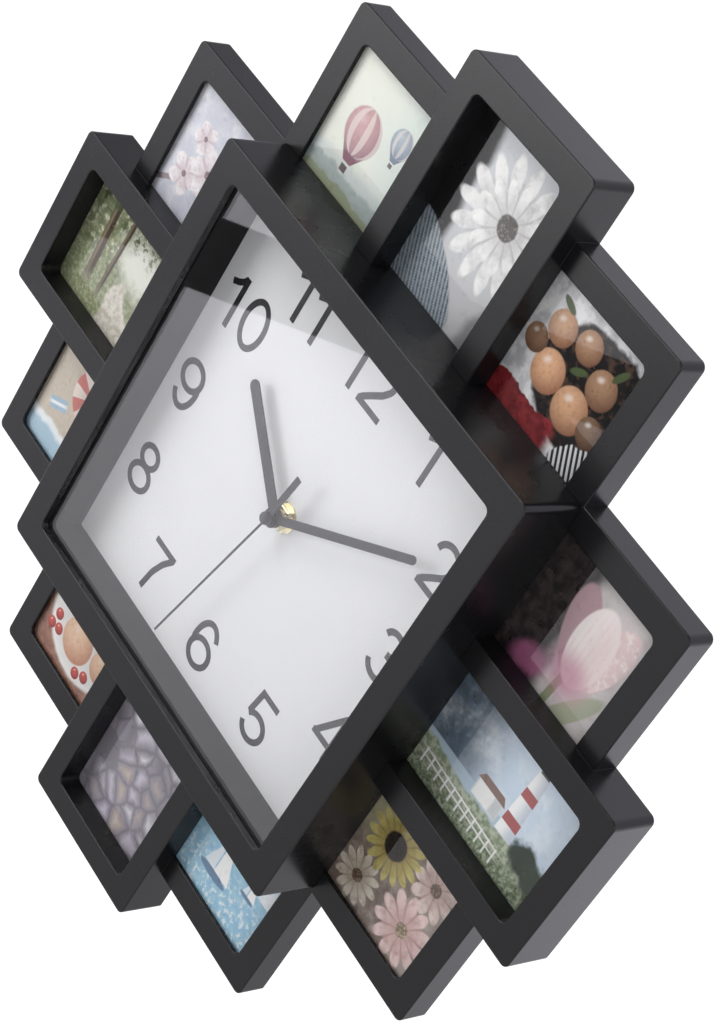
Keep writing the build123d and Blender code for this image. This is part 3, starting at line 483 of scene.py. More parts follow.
class Picture(Finish):
    """A printed photograph: an ink for the ground, with paint laid over it where masks are 1.

    Masks are placed in mm from the middle of the print.
    """

    def __init__(self, name, middle):
        super().__init__(name, Specular_IOR_Level=0.55)
        values = {"Vector": self.here(), "Location": -middle / MM, "Scale": (1 / MM,) * 3}
        split = self.parts(self.add("Mapping", values).outputs[0])
        self.x, self.y = split["X"], split["Z"]
        self.place = self.add("CombineXYZ", {0: self.x, 1: self.y, 2: 0.0}).outputs[0]
        self.ink = grey(1.0)

    def lay(self, mask, paint, share=1.0):
        """Paints one colour, or a colour socket, where the mask is 1."""
        if share < 1:
            mask = self.times(mask, share)
        self.ink = self.blend(mask, self.ink, paint)

    def stir(self, amount, size):
        """The print's places, pushed about by soft noise, for uneven edges."""
        push = self.noise(self.place, 1 / size, 3.0, out="Color")
        push = self.vector("SUBTRACT", push, (0.5,) * 3)
        return self.vector("ADD", self.place, self.vector("MULTIPLY", push, (amount, amount, 0.0)))

    def above(self, level, soft):
        return self.spread(self.y, level - soft, level + soft)

    def below(self, level, soft):
        return self.above(level, -soft)

    def right_of(self, level, soft):
        return self.spread(self.x, level - soft, level + soft)

    def left_of(self, level, soft):
        return self.right_of(level, -soft)

    def around(self, place, x, y, across, up, turn):
        """Places as seen from a point, in shares of two half widths, turned by an angle."""
        values = {"Vector": place, "Location": (x, y, 0), "Rotation": (0, 0, math.radians(turn)),
                  "Scale": (across, up, 1)}
        return self.add("Mapping", values, vector_type="TEXTURE").outputs[0]

    def oval(self, x, y, across, up=None, turn=0.0, soft=0.08, place=None):
        """1 inside an ellipse, falling to 0 over a soft rim."""
        local = self.around(place or self.place, x, y, across, up or across, turn)
        return self.spread(self.length(local), 1 + soft, 1 - soft)

    def box(self, x, y, half, tall, turn=0.0, soft=0.12):
        """1 inside a turned rectangle."""
        local = self.around(self.place, x, y, half, tall, turn)
        split = self.parts(self.vector("ABSOLUTE", local))
        edge = self.math("MAXIMUM", split[0], split[1])
        return self.spread(edge, 1 + soft, 1 - soft)

    def taper(self, x, low, high, half_low, half_high):
        """1 inside an upright trapezium."""
        half = self.spread(self.y, low, high, half_low, half_high, smooth=False)
        off = self.minus(self.math("ABSOLUTE", self.minus(self.x, x)), half)
        return self.times(self.spread(off, 0.3, -0.3), self.above(low, 0.2), self.below(high, 0.2))

    def ridge(self, level, rise, size, seed, soft=0.4):
        """1 below a rolling skyline."""
        along = self.add("CombineXYZ", {0: self.x, 1: seed * size, 2: 0.0}).outputs[0]
        wave = self.noise(along, 1 / size, 3.0, 0.55)
        wave = self.spread(wave, 0.25, 0.75, -rise, rise, smooth=False)
        return self.spread(self.minus(self.y, wave), level + soft, level - soft)

    def mottle(self, size, low=0.35, high=0.65, detail=4.0):
        """Cloudy patches of about this size."""
        return self.spread(self.noise(self.place, 1 / size, detail, 0.6), low, high)

    def polar(self, x, y, place=None):
        """Distance and bearing from a point."""
        local = self.vector("SUBTRACT", place or self.place, (x, y, 0))
        split = self.parts(local)
        return self.length(local), self.math("ARCTAN2", split[1], split[0])

    def flower(self, x, y, reach, petals, outer, inner, heart, heart_share, turn=0.0):
        """A round flower of pointed petals with shade between them, and its heart."""
        away, bearing = self.polar(x, y, self.stir(reach * 0.12, reach * 0.5))
        spun = self.times(self.plus(bearing, math.radians(turn)), petals / 2)
        lobe = self.math("ABSOLUTE", self.math("COSINE", spun))
        rim = self.times(self.plus(self.times(lobe, 0.34), 0.66), reach)
        share = self.math("DIVIDE", away, rim)
        depth = self.times(self.spread(lobe, 0.0, 0.55),
                          self.spread(away, reach * heart_share, reach * 0.9, 0.35, 1.0))
        shaded = self.times(depth, self.mottle(reach * 0.3, 0.2, 0.6))
        self.lay(self.spread(share, 1.05, 0.95), self.blend(shaded, inner, outer))
        speck = self.cells(self.place, 14 / reach)
        seeds = self.blend(self.spread(speck, 0.2, 0.6), heart, toned(heart, 0.4))
        self.lay(self.spread(away, reach * heart_share * 1.1, reach * heart_share * 0.9), seeds)

    def ball(self, x, y, size, light, dark, shine):
        """A round fruit, lit from the upper left."""
        body = self.oval(x, y, size, soft=0.05)
        lit = self.oval(x - size * 0.3, y + size * 0.32, size, soft=0.85)
        skin = self.blend(lit, dark, light)
        freckle = self.mottle(size * 0.22, 0.45, 0.75)
        skin = self.blend(self.times(freckle, 0.3), skin, dark)
        self.lay(body, skin)
        spot = self.oval(x - size * 0.34, y + size * 0.38, size * 0.2, size * 0.14, 35.0, 0.9)
        self.lay(spot, (1.0, 0.97, 0.92), shine)

    def done(self):
        """Adds a trace of film grain and darker corners, and the gloss of the paper."""
        grain = self.vary(self.noise(self.place, 6.0, 2.0, 0.7), 1.02, 1.08)
        corner = self.spread(self.length(self.place), 28.0, 60.0, 1.0, 0.88)
        tone = self.scaled(self.ink, self.times(grain, corner))
        gloss = self.vary(self.noise(self.place, 0.15, 3.0, 0.6), 0.26, 0.36)
        tooth = self.noise(self.place, 2.2, 2.0, 0.6)
        return self.surface(tone, gloss, self.bump(tooth, 0.000001, 0.3))


def balloons(art):
    """Two hot-air balloons over misty hills."""
    art.ink = (0.84, 0.86, 0.76)
    art.lay(art.right_of(6, 26), (0.74, 0.86, 0.82), 0.8)
    art.lay(art.mottle(22, 0.45, 0.8), (0.92, 0.91, 0.84), 0.6)
    art.lay(art.ridge(-15, 3, 30, 1.3, 3.0), (0.60, 0.66, 0.66), 0.8)
    hills = art.ridge(-20, 4, 18, 5.1, 1.2)
    art.lay(hills, (0.44, 0.50, 0.50))
    art.lay(art.times(hills, art.mottle(3.0, 0.4, 0.7)), (0.34, 0.42, 0.36), 0.6)
    art.lay(art.ridge(-26, 2, 9, 9.4, 0.7), (0.32, 0.36, 0.24))
    rose, plum = (0.66, 0.38, 0.39), (0.30, 0.15, 0.20)
    sky, slate = (0.46, 0.54, 0.62), (0.20, 0.25, 0.36)
    for x, y, size, light, dark in ((-8, 0, 11.0, rose, plum), (13, 10, 6.5, sky, slate)):
        art.lay(art.taper(x, y - size * 1.36, y - size * 0.62, size * 0.24, size * 0.77), dark)
        art.ball(x, y, size, light, dark, 0.2)
        rise = art.math("DIVIDE", art.minus(art.y, y), size)
        bulge = art.outside(art.times(rise, rise))
        girth = art.math("SQRT", art.math("MAXIMUM", bulge, 0.06))
        gore = art.math("DIVIDE", art.math("DIVIDE", art.minus(art.x, x), size), girth)
        bands = art.spread(art.math("SINE", art.times(gore, 8.0)), 0.1, 0.5)
        art.lay(art.times(art.oval(x, y, size, soft=0.05), bands), (0.86, 0.78, 0.72), 0.6)
        art.lay(art.box(x, y - size * 1.62, size * 0.18, size * 0.15), (0.16, 0.12, 0.13))


def daisy(art):
    """A pale daisy beside a black cloth, with a ribbed blue-grey knit below."""
    art.ink = (0.60, 0.62, 0.66)
    art.lay(art.mottle(20, 0.35, 0.7), (0.66, 0.67, 0.69), 0.7)
    art.lay(art.below(-14, 16), (0.52, 0.51, 0.52), 0.7)
    art.lay(art.spread(art.parts(art.stir(7, 15))["X"], -13, -18), (0.006, 0.006, 0.007))
    art.lay(art.oval(26, -34, 9, 15, -24, 0.3, art.stir(5, 8)), (0.16, 0.16, 0.17), 0.8)
    art.flower(8, 7, 29, 15, (0.94, 0.93, 0.92), (0.52, 0.52, 0.54), (0.36, 0.33, 0.30), 0.2, 8)
    art.flower(9, 8, 20, 13, (0.95, 0.94, 0.93), (0.52, 0.51, 0.52), (0.24, 0.22, 0.20), 0.27, 20)
    ribs = art.math("SINE", art.plus(art.times(art.x, 2.9), art.times(art.y, 1.3)))
    purl = art.math("SINE", art.minus(art.times(art.y, 5.2), art.times(art.x, 2.0)))
    wool = art.blend(art.spread(ribs, -0.6, 0.7), (0.07, 0.09, 0.11), (0.38, 0.45, 0.51))
    wool = art.blend(art.times(art.spread(purl, 0.0, 0.8), 0.55), wool, (0.12, 0.15, 0.18))
    wool = art.blend(art.times(art.mottle(2.0), 0.35), wool, (0.42, 0.47, 0.52))
    art.lay(art.oval(-28, -36, 40, 23, -26, 0.03, art.stir(4, 12)), wool)


def fruit(art):
    """Peaches and plums in a black bowl, on a white table with a dark red cloth."""
    art.ink = (0.52, 0.52, 0.54)
    art.lay(art.mottle(9, 0.4, 0.6), (0.84, 0.84, 0.85), 0.8)
    bowl = art.oval(12, 1, 29, 25, 0, 0.05, art.stir(9, 9))
    art.lay(bowl, (0.010, 0.008, 0.008))
    art.lay(art.times(bowl, art.mottle(4, 0.5, 0.62)), (0.09, 0.045, 0.030), 0.8)
    cloth = art.times(art.ridge(-19, 4, 16, 3.0), art.left_of(9, 3))
    art.lay(cloth, art.blend(art.mottle(6, 0.4, 0.62), (0.26, 0.025, 0.030), (0.14, 0.010, 0.014)))
    peel, shade = (0.74, 0.42, 0.24), (0.22, 0.075, 0.035)
    for x, y, size, tone in ((-14, 12, 7.5, 0.85), (1, 15, 7.0, 0.62), (16, 7, 8.0, 0.55),
                             (-9, -5, 9.0, 1.05), (9, -9, 9.5, 0.92), (-22, 1, 6.0, 0.45),
                             (22, -9, 6.5, 0.30)):
        art.ball(x, y, size, toned(peel, tone), toned(shade, tone), 0.5)
    for x, y, turn in ((3, 5, 30), (-17, 21, -20), (20, 17, 60)):
        art.lay(art.oval(x, y, 4.6, 1.6, turn, 0.15), (0.07, 0.10, 0.035))
    stripe = art.math("SINE", art.plus(art.times(art.x, 2.2), art.times(art.y, 1.2)))
    napkin = art.blend(art.spread(stripe, -0.3, 0.3), grey(0.02), (0.72, 0.72, 0.74))
    art.lay(art.oval(24, -24, 13, 8, 30, 0.05, art.stir(3, 5)), napkin)


def tulip(art):
    """A pale tulip close up, against dark brown shade."""
    art.ink = (0.54, 0.50, 0.50)
    art.lay(art.mottle(14, 0.45, 0.72), (0.36, 0.28, 0.28), 0.5)
    dark = art.spread(art.parts(art.stir(10, 12))["X"], 0, -9)
    art.lay(dark, art.blend(art.mottle(5), (0.012, 0.009, 0.010), (0.055, 0.040, 0.040)))
    art.lay(art.box(4, -26, 1.8, 12, -6), (0.24, 0.27, 0.16))
    art.lay(art.oval(16, -24, 4.2, 19, -34, 0.12), (0.34, 0.36, 0.26))
    rosy, pale, deep = (0.66, 0.50, 0.50), (0.80, 0.72, 0.71), (0.40, 0.24, 0.27)
    art.lay(art.oval(-1, 4, 8.5, 19, 17, 0.06), deep)
    petal = art.oval(17, 4, 8.5, 19, -17, 0.06)
    art.lay(petal, rosy)
    art.lay(art.times(petal, art.mottle(3.5, 0.45, 0.7)), pale)
    art.lay(art.oval(8, 2, 10.5, 19, 0, 0.05), pale)
    art.lay(art.oval(13, 0, 6.5, 18, -4, 0.7), rosy, 0.55)
    veins = art.math("SINE", art.times(art.minus(art.x, 8.0), 2.1))
    streak = art.times(art.oval(8, 0, 9.5, 17, 0, 0.3), art.spread(veins, 0.1, 0.9), art.mottle(6))
    art.lay(streak, rosy, 0.5)
    art.lay(art.oval(6, -14, 10, 8, 0, 0.7), (0.46, 0.12, 0.24), 0.65)
    art.lay(art.oval(-12, -23, 9, 6, 20, 0.4, art.stir(5, 6)), (0.42, 0.12, 0.25), 0.8)


def lighthouse(art):
    """A white lighthouse on a green headland, with a fence."""
    art.ink = (0.58, 0.68, 0.80)
    art.lay(art.left_of(-14, 18), (0.13, 0.19, 0.26))
    art.lay(art.times(art.mottle(17, 0.42, 0.72), art.above(-4, 8)), (0.78, 0.84, 0.89), 0.8)
    art.lay(art.times(art.left_of(-20, 16), art.mottle(8, 0.3, 0.6)), (0.06, 0.08, 0.10), 0.7)
    art.lay(art.below(-9, 0.4), (0.42, 0.54, 0.64))
    hill = art.ridge(-13, 5, 34, 2.2, 0.8)
    art.lay(hill, art.blend(art.mottle(2.6, 0.4, 0.62), (0.20, 0.26, 0.16), (0.46, 0.50, 0.38)))
    art.lay(art.times(art.below(-22, 6), art.mottle(1.6, 0.48, 0.6)), (0.07, 0.09, 0.06), 0.8)
    tower = art.taper(12, -14, 20, 5.2, 3.4)
    art.lay(tower, (0.88, 0.89, 0.90))
    art.lay(art.times(tower, art.right_of(12.5, 3.5)), (0.55, 0.60, 0.68))
    for level in (-6, 8):
        band = art.times(tower, art.above(level - 2.4, 0.2), art.below(level + 2.4, 0.2))
        art.lay(band, (0.40, 0.10, 0.10))
    art.lay(art.box(12, 21.8, 2.7, 2.0), (0.05, 0.06, 0.07))
    art.lay(art.oval(12, 24.4, 3.1, 1.9), (0.34, 0.08, 0.07))
    art.lay(art.box(-3, -9, 8.0, 4.2), grey(0.84))
    art.lay(art.box(2.5, -9, 2.5, 4.2, soft=0.4), (0.56, 0.58, 0.60))
    art.lay(art.taper(-3, -5.2, -1.6, 9.2, 6.6), (0.24, 0.15, 0.13))
    for place in range(11):
        art.lay(art.box(-38 + place * 5.2, -21 - place * 0.3, 0.5, 3.8), (0.82, 0.82, 0.81))
    for level in (-19.4, -22.4):
        art.lay(art.box(-12, level, 26, 0.42, -3.3, 0.3), (0.82, 0.82, 0.81))
    leaves = art.stir(7, 3.5)
    art.lay(art.oval(26, -13, 8, 7, 0, 0.3, leaves), (0.02, 0.035, 0.02))
    art.lay(art.oval(36, -16, 9, 7, 0, 0.3, leaves), (0.03, 0.05, 0.025))


def sunflowers(art):
    """A sunflower and pink blooms on a wooden table."""
    art.ink = (0.18, 0.13, 0.11)
    art.lay(art.times(art.above(4, 12), art.left_of(0, 14)), (0.38, 0.36, 0.22))
    art.lay(art.mottle(7, 0.42, 0.7), (0.46, 0.38, 0.32), 0.7)
    art.lay(art.right_of(16, 10), (0.42, 0.36, 0.33), 0.6)
    art.flower(17, 13, 14, 9, (0.72, 0.60, 0.56), (0.40, 0.26, 0.24), (0.30, 0.20, 0.15), 0.22, 14)
    art.flower(15, -14, 17, 11, (0.78, 0.60, 0.57), (0.44, 0.26, 0.25), (0.50, 0.38, 0.26), 0.2)
    art.flower(-17, -17, 13, 12, (0.66, 0.60, 0.50), (0.34, 0.27, 0.20), (0.28, 0.18, 0.12), 0.24)
    art.flower(-10, 9, 17, 16, (0.60, 0.52, 0.18), (0.30, 0.22, 0.06), (0.05, 0.03, 0.02), 0.38, 10)


def peaches(art):
    """Peaches and red berries on a white plate."""
    art.ink = (0.90, 0.88, 0.86)
    table = art.outside(art.oval(2, 0, 30, 27, 0, 0.05))
    art.lay(table, (0.40, 0.19, 0.13))
    art.lay(art.times(table, art.mottle(4)), (0.22, 0.09, 0.06), 0.8)
    art.lay(art.oval(2, -2, 25, 22, 0, 0.15), (0.66, 0.62, 0.60), 0.35)
    glow, blush = (0.90, 0.62, 0.42), (0.48, 0.17, 0.10)
    for x, y, size in ((-11, 10, 11), (10, 11, 10), (-2, -9, 11.5), (19, -7, 8.5)):
        art.ball(x, y, size, glow, blush, 0.3)
    for x, y in ((-20, -9), (-16, -15), (-22, -16), (12, -19), (6, -22)):
        art.ball(x, y, 3.0, (0.66, 0.08, 0.06), (0.20, 0.01, 0.01), 0.6)
    for x, y, turn in ((-1, 20, 25), (-22, 3, 70)):
        art.lay(art.oval(x, y, 5.2, 1.9, turn, 0.15), (0.14, 0.18, 0.08))


def pebbles(art):
    """Smooth pebbles, with moss beyond them."""
    art.ink = (0.26, 0.24, 0.28)
    shape = art.stir(4, 9)
    rim = art.cells(shape, 0.088, "DISTANCE_TO_EDGE", 0.85)
    stones = art.cells(shape, 0.088, randomness=0.85, out="Color")
    split = art.add("SeparateColor", {0: stones}).outputs
    tone = art.blend(art.spread(split[0], 0.3, 0.7), (0.64, 0.60, 0.70), (0.86, 0.84, 0.88))
    tone = art.blend(art.spread(split[1], 0.70, 0.80), tone, (0.54, 0.45, 0.40))
    tone = art.blend(art.times(art.mottle(1.6, 0.5, 0.7), 0.3), tone, (0.34, 0.32, 0.37))
    shade = art.blend(art.spread(rim, 0.04, 0.34), (0.34, 0.31, 0.37), tone)
    art.lay(art.spread(rim, 0.015, 0.07), shade)
    art.lay(art.spread(rim, 0.26, 0.46), (0.90, 0.89, 0.92), 0.28)
    moss = art.blend(art.mottle(3.5, 0.4, 0.65), (0.10, 0.10, 0.05), (0.28, 0.27, 0.18))
    art.lay(art.spread(art.plus(art.y, art.times(art.mottle(9), 9.0)), 20.0, 28.0), moss)


def sails(art):
    """Two white sails on light blue water, under cloud."""
    art.ink = (0.66, 0.76, 0.86)
    art.lay(art.mottle(16, 0.4, 0.66), (0.90, 0.92, 0.94))
    art.lay(art.below(-2, 0.3), (0.30, 0.55, 0.74))
    art.lay(art.times(art.below(-2, 3), art.mottle(5.0, 0.4, 0.66, 3.0)), (0.44, 0.68, 0.82), 0.8)
    art.lay(art.times(art.below(-9, 8), art.mottle(2.6, 0.52, 0.60, 3.0)), (0.86, 0.92, 0.95), 0.75)
    for x, low, size in ((-8, -15, 1.0), (14, -7, 0.5)):
        art.lay(art.oval(x, low - 2 * size, 10 * size, 2.2 * size, 0, 0.1), (0.14, 0.24, 0.38))
        main = art.taper(x, low, low + 25 * size, 11 * size, 0.1)
        art.lay(art.times(main, art.right_of(x, 0.2)), grey(0.95))
        jib = art.taper(x, low, low + 21 * size, 8 * size, 0.1)
        art.lay(art.times(jib, art.left_of(x - 0.8, 0.2)), (0.76, 0.82, 0.88))


def parasol(art):
    """A coral parasol on pale sand, with foam at the water's edge."""
    art.ink = (0.62, 0.54, 0.44)
    art.lay(art.mottle(2.0, 0.45, 0.7), (0.48, 0.40, 0.31), 0.4)
    art.lay(art.ridge(-16, 3, 22, 4.0, 1.2), (0.86, 0.90, 0.93))
    art.lay(art.ridge(-20, 3, 22, 4.0, 1.5), (0.42, 0.60, 0.74))
    art.lay(art.oval(11, 0, 13, 5, -14, 0.3), (0.30, 0.22, 0.16))
    away, bearing = art.polar(2, 11)
    wedge = art.spread(art.math("SINE", art.times(bearing, 6.0)), -0.08, 0.08)
    cloth = art.blend(wedge, (0.64, 0.17, 0.14), (0.86, 0.74, 0.68))
    cover = art.spread(away, 14.6, 14.0)
    art.lay(cover, cloth)
    art.lay(art.times(art.oval(7, 6, 12, 12, 0, 0.6), cover), (0.20, 0.05, 0.05), 0.4)
    art.lay(art.spread(away, 1.2, 0.8), (0.92, 0.90, 0.86))
    art.lay(art.box(-16, -6, 6.2, 3.0, 24), (0.36, 0.52, 0.66))
    art.lay(art.box(-16, -6, 6.2, 0.8, 24, 0.4), (0.90, 0.91, 0.92))


def woodland(art):
    """A cream path through green trees."""
    art.ink = (0.19, 0.22, 0.12)
    art.lay(art.mottle(6, 0.4, 0.62), (0.38, 0.41, 0.24))
    art.lay(art.times(art.mottle(3, 0.52, 0.64), art.above(-4, 8)), (0.66, 0.68, 0.50))
    art.lay(art.oval(4, 8, 17, 12, 0, 0.6, art.stir(12, 7)), (0.86, 0.87, 0.78))
    bank = art.ridge(-8, 2, 15, 2.0, 1.0)
    art.lay(bank, (0.26, 0.30, 0.16))
    art.lay(art.times(bank, art.mottle(2.0, 0.45, 0.6)), (0.50, 0.52, 0.36), 0.8)
    sway = art.math("SINE", art.times(art.y, 0.16))
    bend = art.plus(art.times(sway, 5.0), 2.0)
    off = art.math("ABSOLUTE", art.minus(art.x, bend))
    half = art.times(art.minus(-2.0, art.y), 0.62)
    art.lay(art.times(art.spread(art.minus(off, half), 1.0, -1.0), art.below(-4, 1.5)),
            art.blend(art.mottle(3), (0.60, 0.55, 0.46), (0.82, 0.78, 0.70)))
    for x, wide, lean in ((-27, 2.6, 2), (-14, 1.5, -3), (24, 2.2, 3), (34, 3.2, -2)):
        art.lay(art.box(x, 8, wide, 26, lean, 0.25), (0.085, 0.06, 0.04))
        art.lay(art.box(x - wide * 0.45, 8, wide * 0.3, 26, lean, 0.8), (0.26, 0.20, 0.13))
    art.lay(art.times(art.above(12, 5), art.mottle(4.5, 0.5, 0.6)), (0.11, 0.14, 0.06))


def blossom(art):
    """Pale blossom on a bare branch."""
    art.ink = (0.60, 0.61, 0.70)
    art.lay(art.mottle(13, 0.4, 0.7), (0.90, 0.90, 0.94), 0.8)
    art.lay(art.mottle(6, 0.55, 0.7), (0.40, 0.41, 0.47), 0.6)
    art.lay(art.box(-2, -6, 40, 1.3, 32, 0.3), (0.24, 0.18, 0.19))
    art.lay(art.box(12, 12, 16, 0.8, 72, 0.4), (0.30, 0.24, 0.25))
    pale, rosy, red = (0.94, 0.90, 0.92), (0.60, 0.48, 0.52), (0.46, 0.26, 0.28)
    for x, y, size, turn in ((-16, -12, 10, 0), (-3, -3, 12, 30), (12, 8, 11, 12), (8, -14, 8, 50),
                             (-14, 8, 8, 20), (22, 21, 8, 5)):
        art.flower(x, y, size, 5, pale, rosy, red, 0.16, turn)


PICTURES = {
    "top": (balloons, daisy, fruit),
    "right": (sunflowers, lighthouse, tulip),
    "bottom": (peaches, pebbles, sails),
    "left": (parasol, woodland, blossom),
}


def dress_frame():
    """Gives every carried-over node the finish of its slot."""
    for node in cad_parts.values():
        for held in node.material_slots:
            held.material = FINISHES[held.material.name]


# Pieces

def placed(name, data):
    """A new object in the scene, around a mesh, a lamp or a camera."""
    item = bpy.data.objects.new(name, data)
    scene.collection.objects.link(item)
    return item


def mesh_of(build, name):
    """The finished mesh of a bmesh, which is freed."""
    mesh = bpy.data.meshes.new(name)
    build.to_mesh(mesh)
    build.free()
    return mesh


def add_piece(name, mesh, body, finish):
    piece = placed(name, mesh)
    mesh.materials.clear()
    mesh.materials.append(finish)
    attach(piece, body)
    return piece


def arc(middle, across, up, start, stop, steps=22):
    """Points on an ellipse between two angles, in degrees."""
    turn = [math.radians(start + (stop - start) * step / steps) for step in range(steps + 1)]
    return [(middle[0] + across * math.cos(a), middle[1] + up * math.sin(a)) for a in turn]


def digit_strokes(digit, height):
    """Middle lines of a plain upright digit, and its width, from its lower left corner."""
    half = NUMERAL_STROKE / 2
    wide = height * 0.66
    reach = wide / 2 - half
    rise = height / 2 - half
    middle = wide / 2
    small = reach * 0.82
    high, low = (height - half) * 0.785, (height - half) * 0.305
    upper, lower = height - half - high, low - half
    ring = arc((middle, height / 2), reach, rise, 0, 360, 48)
    bowl = arc((middle, low * 1.1), reach, low * 1.1 - half, 0, 360, 40)
    tail = arc((middle, height / 2), reach, rise, 188, 32)
    strokes = {
        "0": [ring],
        "1": [[(0.315, 0), (0.315, 1)],
              [(0.0, 0.735), (0.14, 0.80), (0.235, 0.875), (0.30, 0.975)]],
        "2": [arc((middle, height - half - upper * 1.22), reach * 0.96, upper * 1.22, 172, -28)
              + [(0.46 * height, 0.44 * height), (0.25 * height, 0.26 * height),
                 (0.12 * height, 0.14 * height), (0.06 * height, half * 0.9)],
              [(0.02 * height, half), (wide, half)]],
        "3": [arc((middle * 0.96, high), small, upper, 165, -92),
              arc((middle * 0.96, low), reach, lower * 1.02, 92, -165)],
        "4": [[(0.50, 0), (0.50, 1)], [(0.0, 0.285), (0.69, 0.285)],
              [(0.045, 0.27), (0.49, 0.965)]],
        "5": [[(0.13 * height, height - half), (0.61 * height, height - half)],
              [(0.165 * height, height), (0.085 * height, 0.465 * height)],
              arc((middle * 0.97, low * 1.06), reach, low * 1.06 - half, 148, -166)],
        "6": [bowl, tail],
        "7": [[(0.01, 0.9425), (0.645, 0.9425)],
              [(0.60, 0.93), (0.43, 0.70), (0.30, 0.40), (0.225, 0)]],
        "8": [arc((middle, high), small, upper, 0, 360, 40),
              arc((middle, low), reach, lower * 1.02, 0, 360, 40)],
    }
    if digit == "9":
        return [[(wide - x, height - y) for x, y in line] for line in (bowl, tail)], wide
    if digit in "147":
        lines = [[(x * height, y * height) for x, y in line] for line in strokes[digit]]
        return lines, (0.375 if digit == "1" else 0.66) * height
    return strokes[digit], wide


def stroke_mesh(name, line):
    """A line of ink: a standing ribbon along its middle, thickened to the stroke's width."""
    closed = (Vector(line[0]) - Vector(line[-1])).length < NUMERAL_STROKE / 100
    points = line[:-1] if closed else line
    build = bmesh.new()
    corners = [build.verts.new((x, y, 0)) for x, y in points]
    pairs = list(zip(corners, corners[1:] + corners[:1]))
    rail = [build.edges.new(pair) for pair in (pairs if closed else pairs[:-1])]
    raised = bmesh.ops.extrude_edge_only(build, edges=rail)
    tops = [item for item in raised["geom"] if isinstance(item, bmesh.types.BMVert)]
    bmesh.ops.translate(build, verts=tops, vec=(0, 0, INK_THICKNESS))
    ribbon = placed(name, mesh_of(build, name))
    thick = ribbon.modifiers.new("stroke", "SOLIDIFY")
    thick.thickness = NUMERAL_STROKE
    thick.offset = 0
    thick.use_even_offset = True
    return ribbon


def joined(first, others):
    """One closed mesh of overlapping closed pieces. The pieces themselves are removed."""
    for other in others:
        union = first.modifiers.new("union", "BOOLEAN")
        union.operation = "UNION"
        union.solver = "EXACT"
        union.object = other
    bpy.context.view_layer.update()
    seen = first.evaluated_get(bpy.context.evaluated_depsgraph_get())
    mesh = bpy.data.meshes.new_from_object(seen)
    for piece in (first, *others):
        bpy.data.objects.remove(piece)
    return mesh


def numeral(text):
    """One printed number on the dial: the joined strokes of its digits, side by side."""
    strokes, left = [], 0.0
    for digit in text:
        lines, wide = digit_strokes(digit, NUMERAL_HEIGHT)
        strokes += [[(x + left, y) for x, y in line] for line in lines]
        left += wide + NUMERAL_GAP
    width = left - NUMERAL_GAP
    ribbons = [stroke_mesh(f"ink_{text}_{place}", line) for place, line in enumerate(strokes)]
    mesh = joined(ribbons[0], ribbons[1:])
    right, up = NUMERAL_PLACES[text]
    mesh.transform(Matrix.Translation((right - width / 2, up - NUMERAL_HEIGHT / 2, 0)))
    mesh.transform(Matrix.Rotation(math.radians(90), 4, "X") @ Matrix.Scale(MM, 4))
    mesh.transform(Matrix.Translation(AXIS + Vector((0, DIAL_FACE, 0))))
    add_piece(f"numeral_{text}", mesh, "clock", FINISHES["hand_black"])


def solids_of(node):
    """Boxes of the separate solids of a carried-over node, as (low, high) corners."""
    build = bmesh.new()
    build.from_mesh(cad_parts[node].data)
    bmesh.ops.remove_doubles(build, verts=build.verts, dist=MM / 100)
    waiting = set(build.verts)
    boxes = []
    while waiting:
        found = {waiting.pop()}
        edge = set(found)
        while edge:
            edge = {e.other_vert(v) for v in edge for e in v.link_edges} - found
            found |= edge
        waiting -= found
        spans = [[v.co[axis] for v in found] for axis in range(3)]
        boxes.append((Vector(map(min, spans)), Vector(map(max, spans))))
    build.free()
    return boxes


def print_mesh(low, high):
    """A sheet of photo paper, with its corners eased."""
    build = bmesh.new()
    bmesh.ops.create_cube(build, size=1.0)
    bmesh.ops.scale(build, vec=high - low, verts=build.verts)
    bmesh.ops.translate(build, vec=(low + high) / 2, verts=build.verts)
    upright = [e for e in build.edges if abs(e.verts[0].co.y - e.verts[1].co.y) > MM / 10]
    bmesh.ops.bevel(build, geom=upright, offset=PRINT_CORNER * MM, segments=2, profile=0.5,
                    affect="EDGES", material=-1)
    return mesh_of(build, "print")


def make_prints():
    """Twelve photographs: each stands for one sheet of the prints of its side."""
    for side, pictures in PICTURES.items():
        boxes = solids_of(f"photo_prints_{side}")
        along = 0 if side in ("top", "bottom") else 2
        boxes.sort(key=lambda box: box[0][along])
        for (low, high), paint in zip(boxes, pictures):
            name = f"photo_{paint.__name__}"
            art = Picture(name, (low + high) / 2)
            paint(art)
            piece = add_piece(name, print_mesh(low, high), "clock", art.done())
            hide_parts(f"photo_prints_{side}")


# Studio

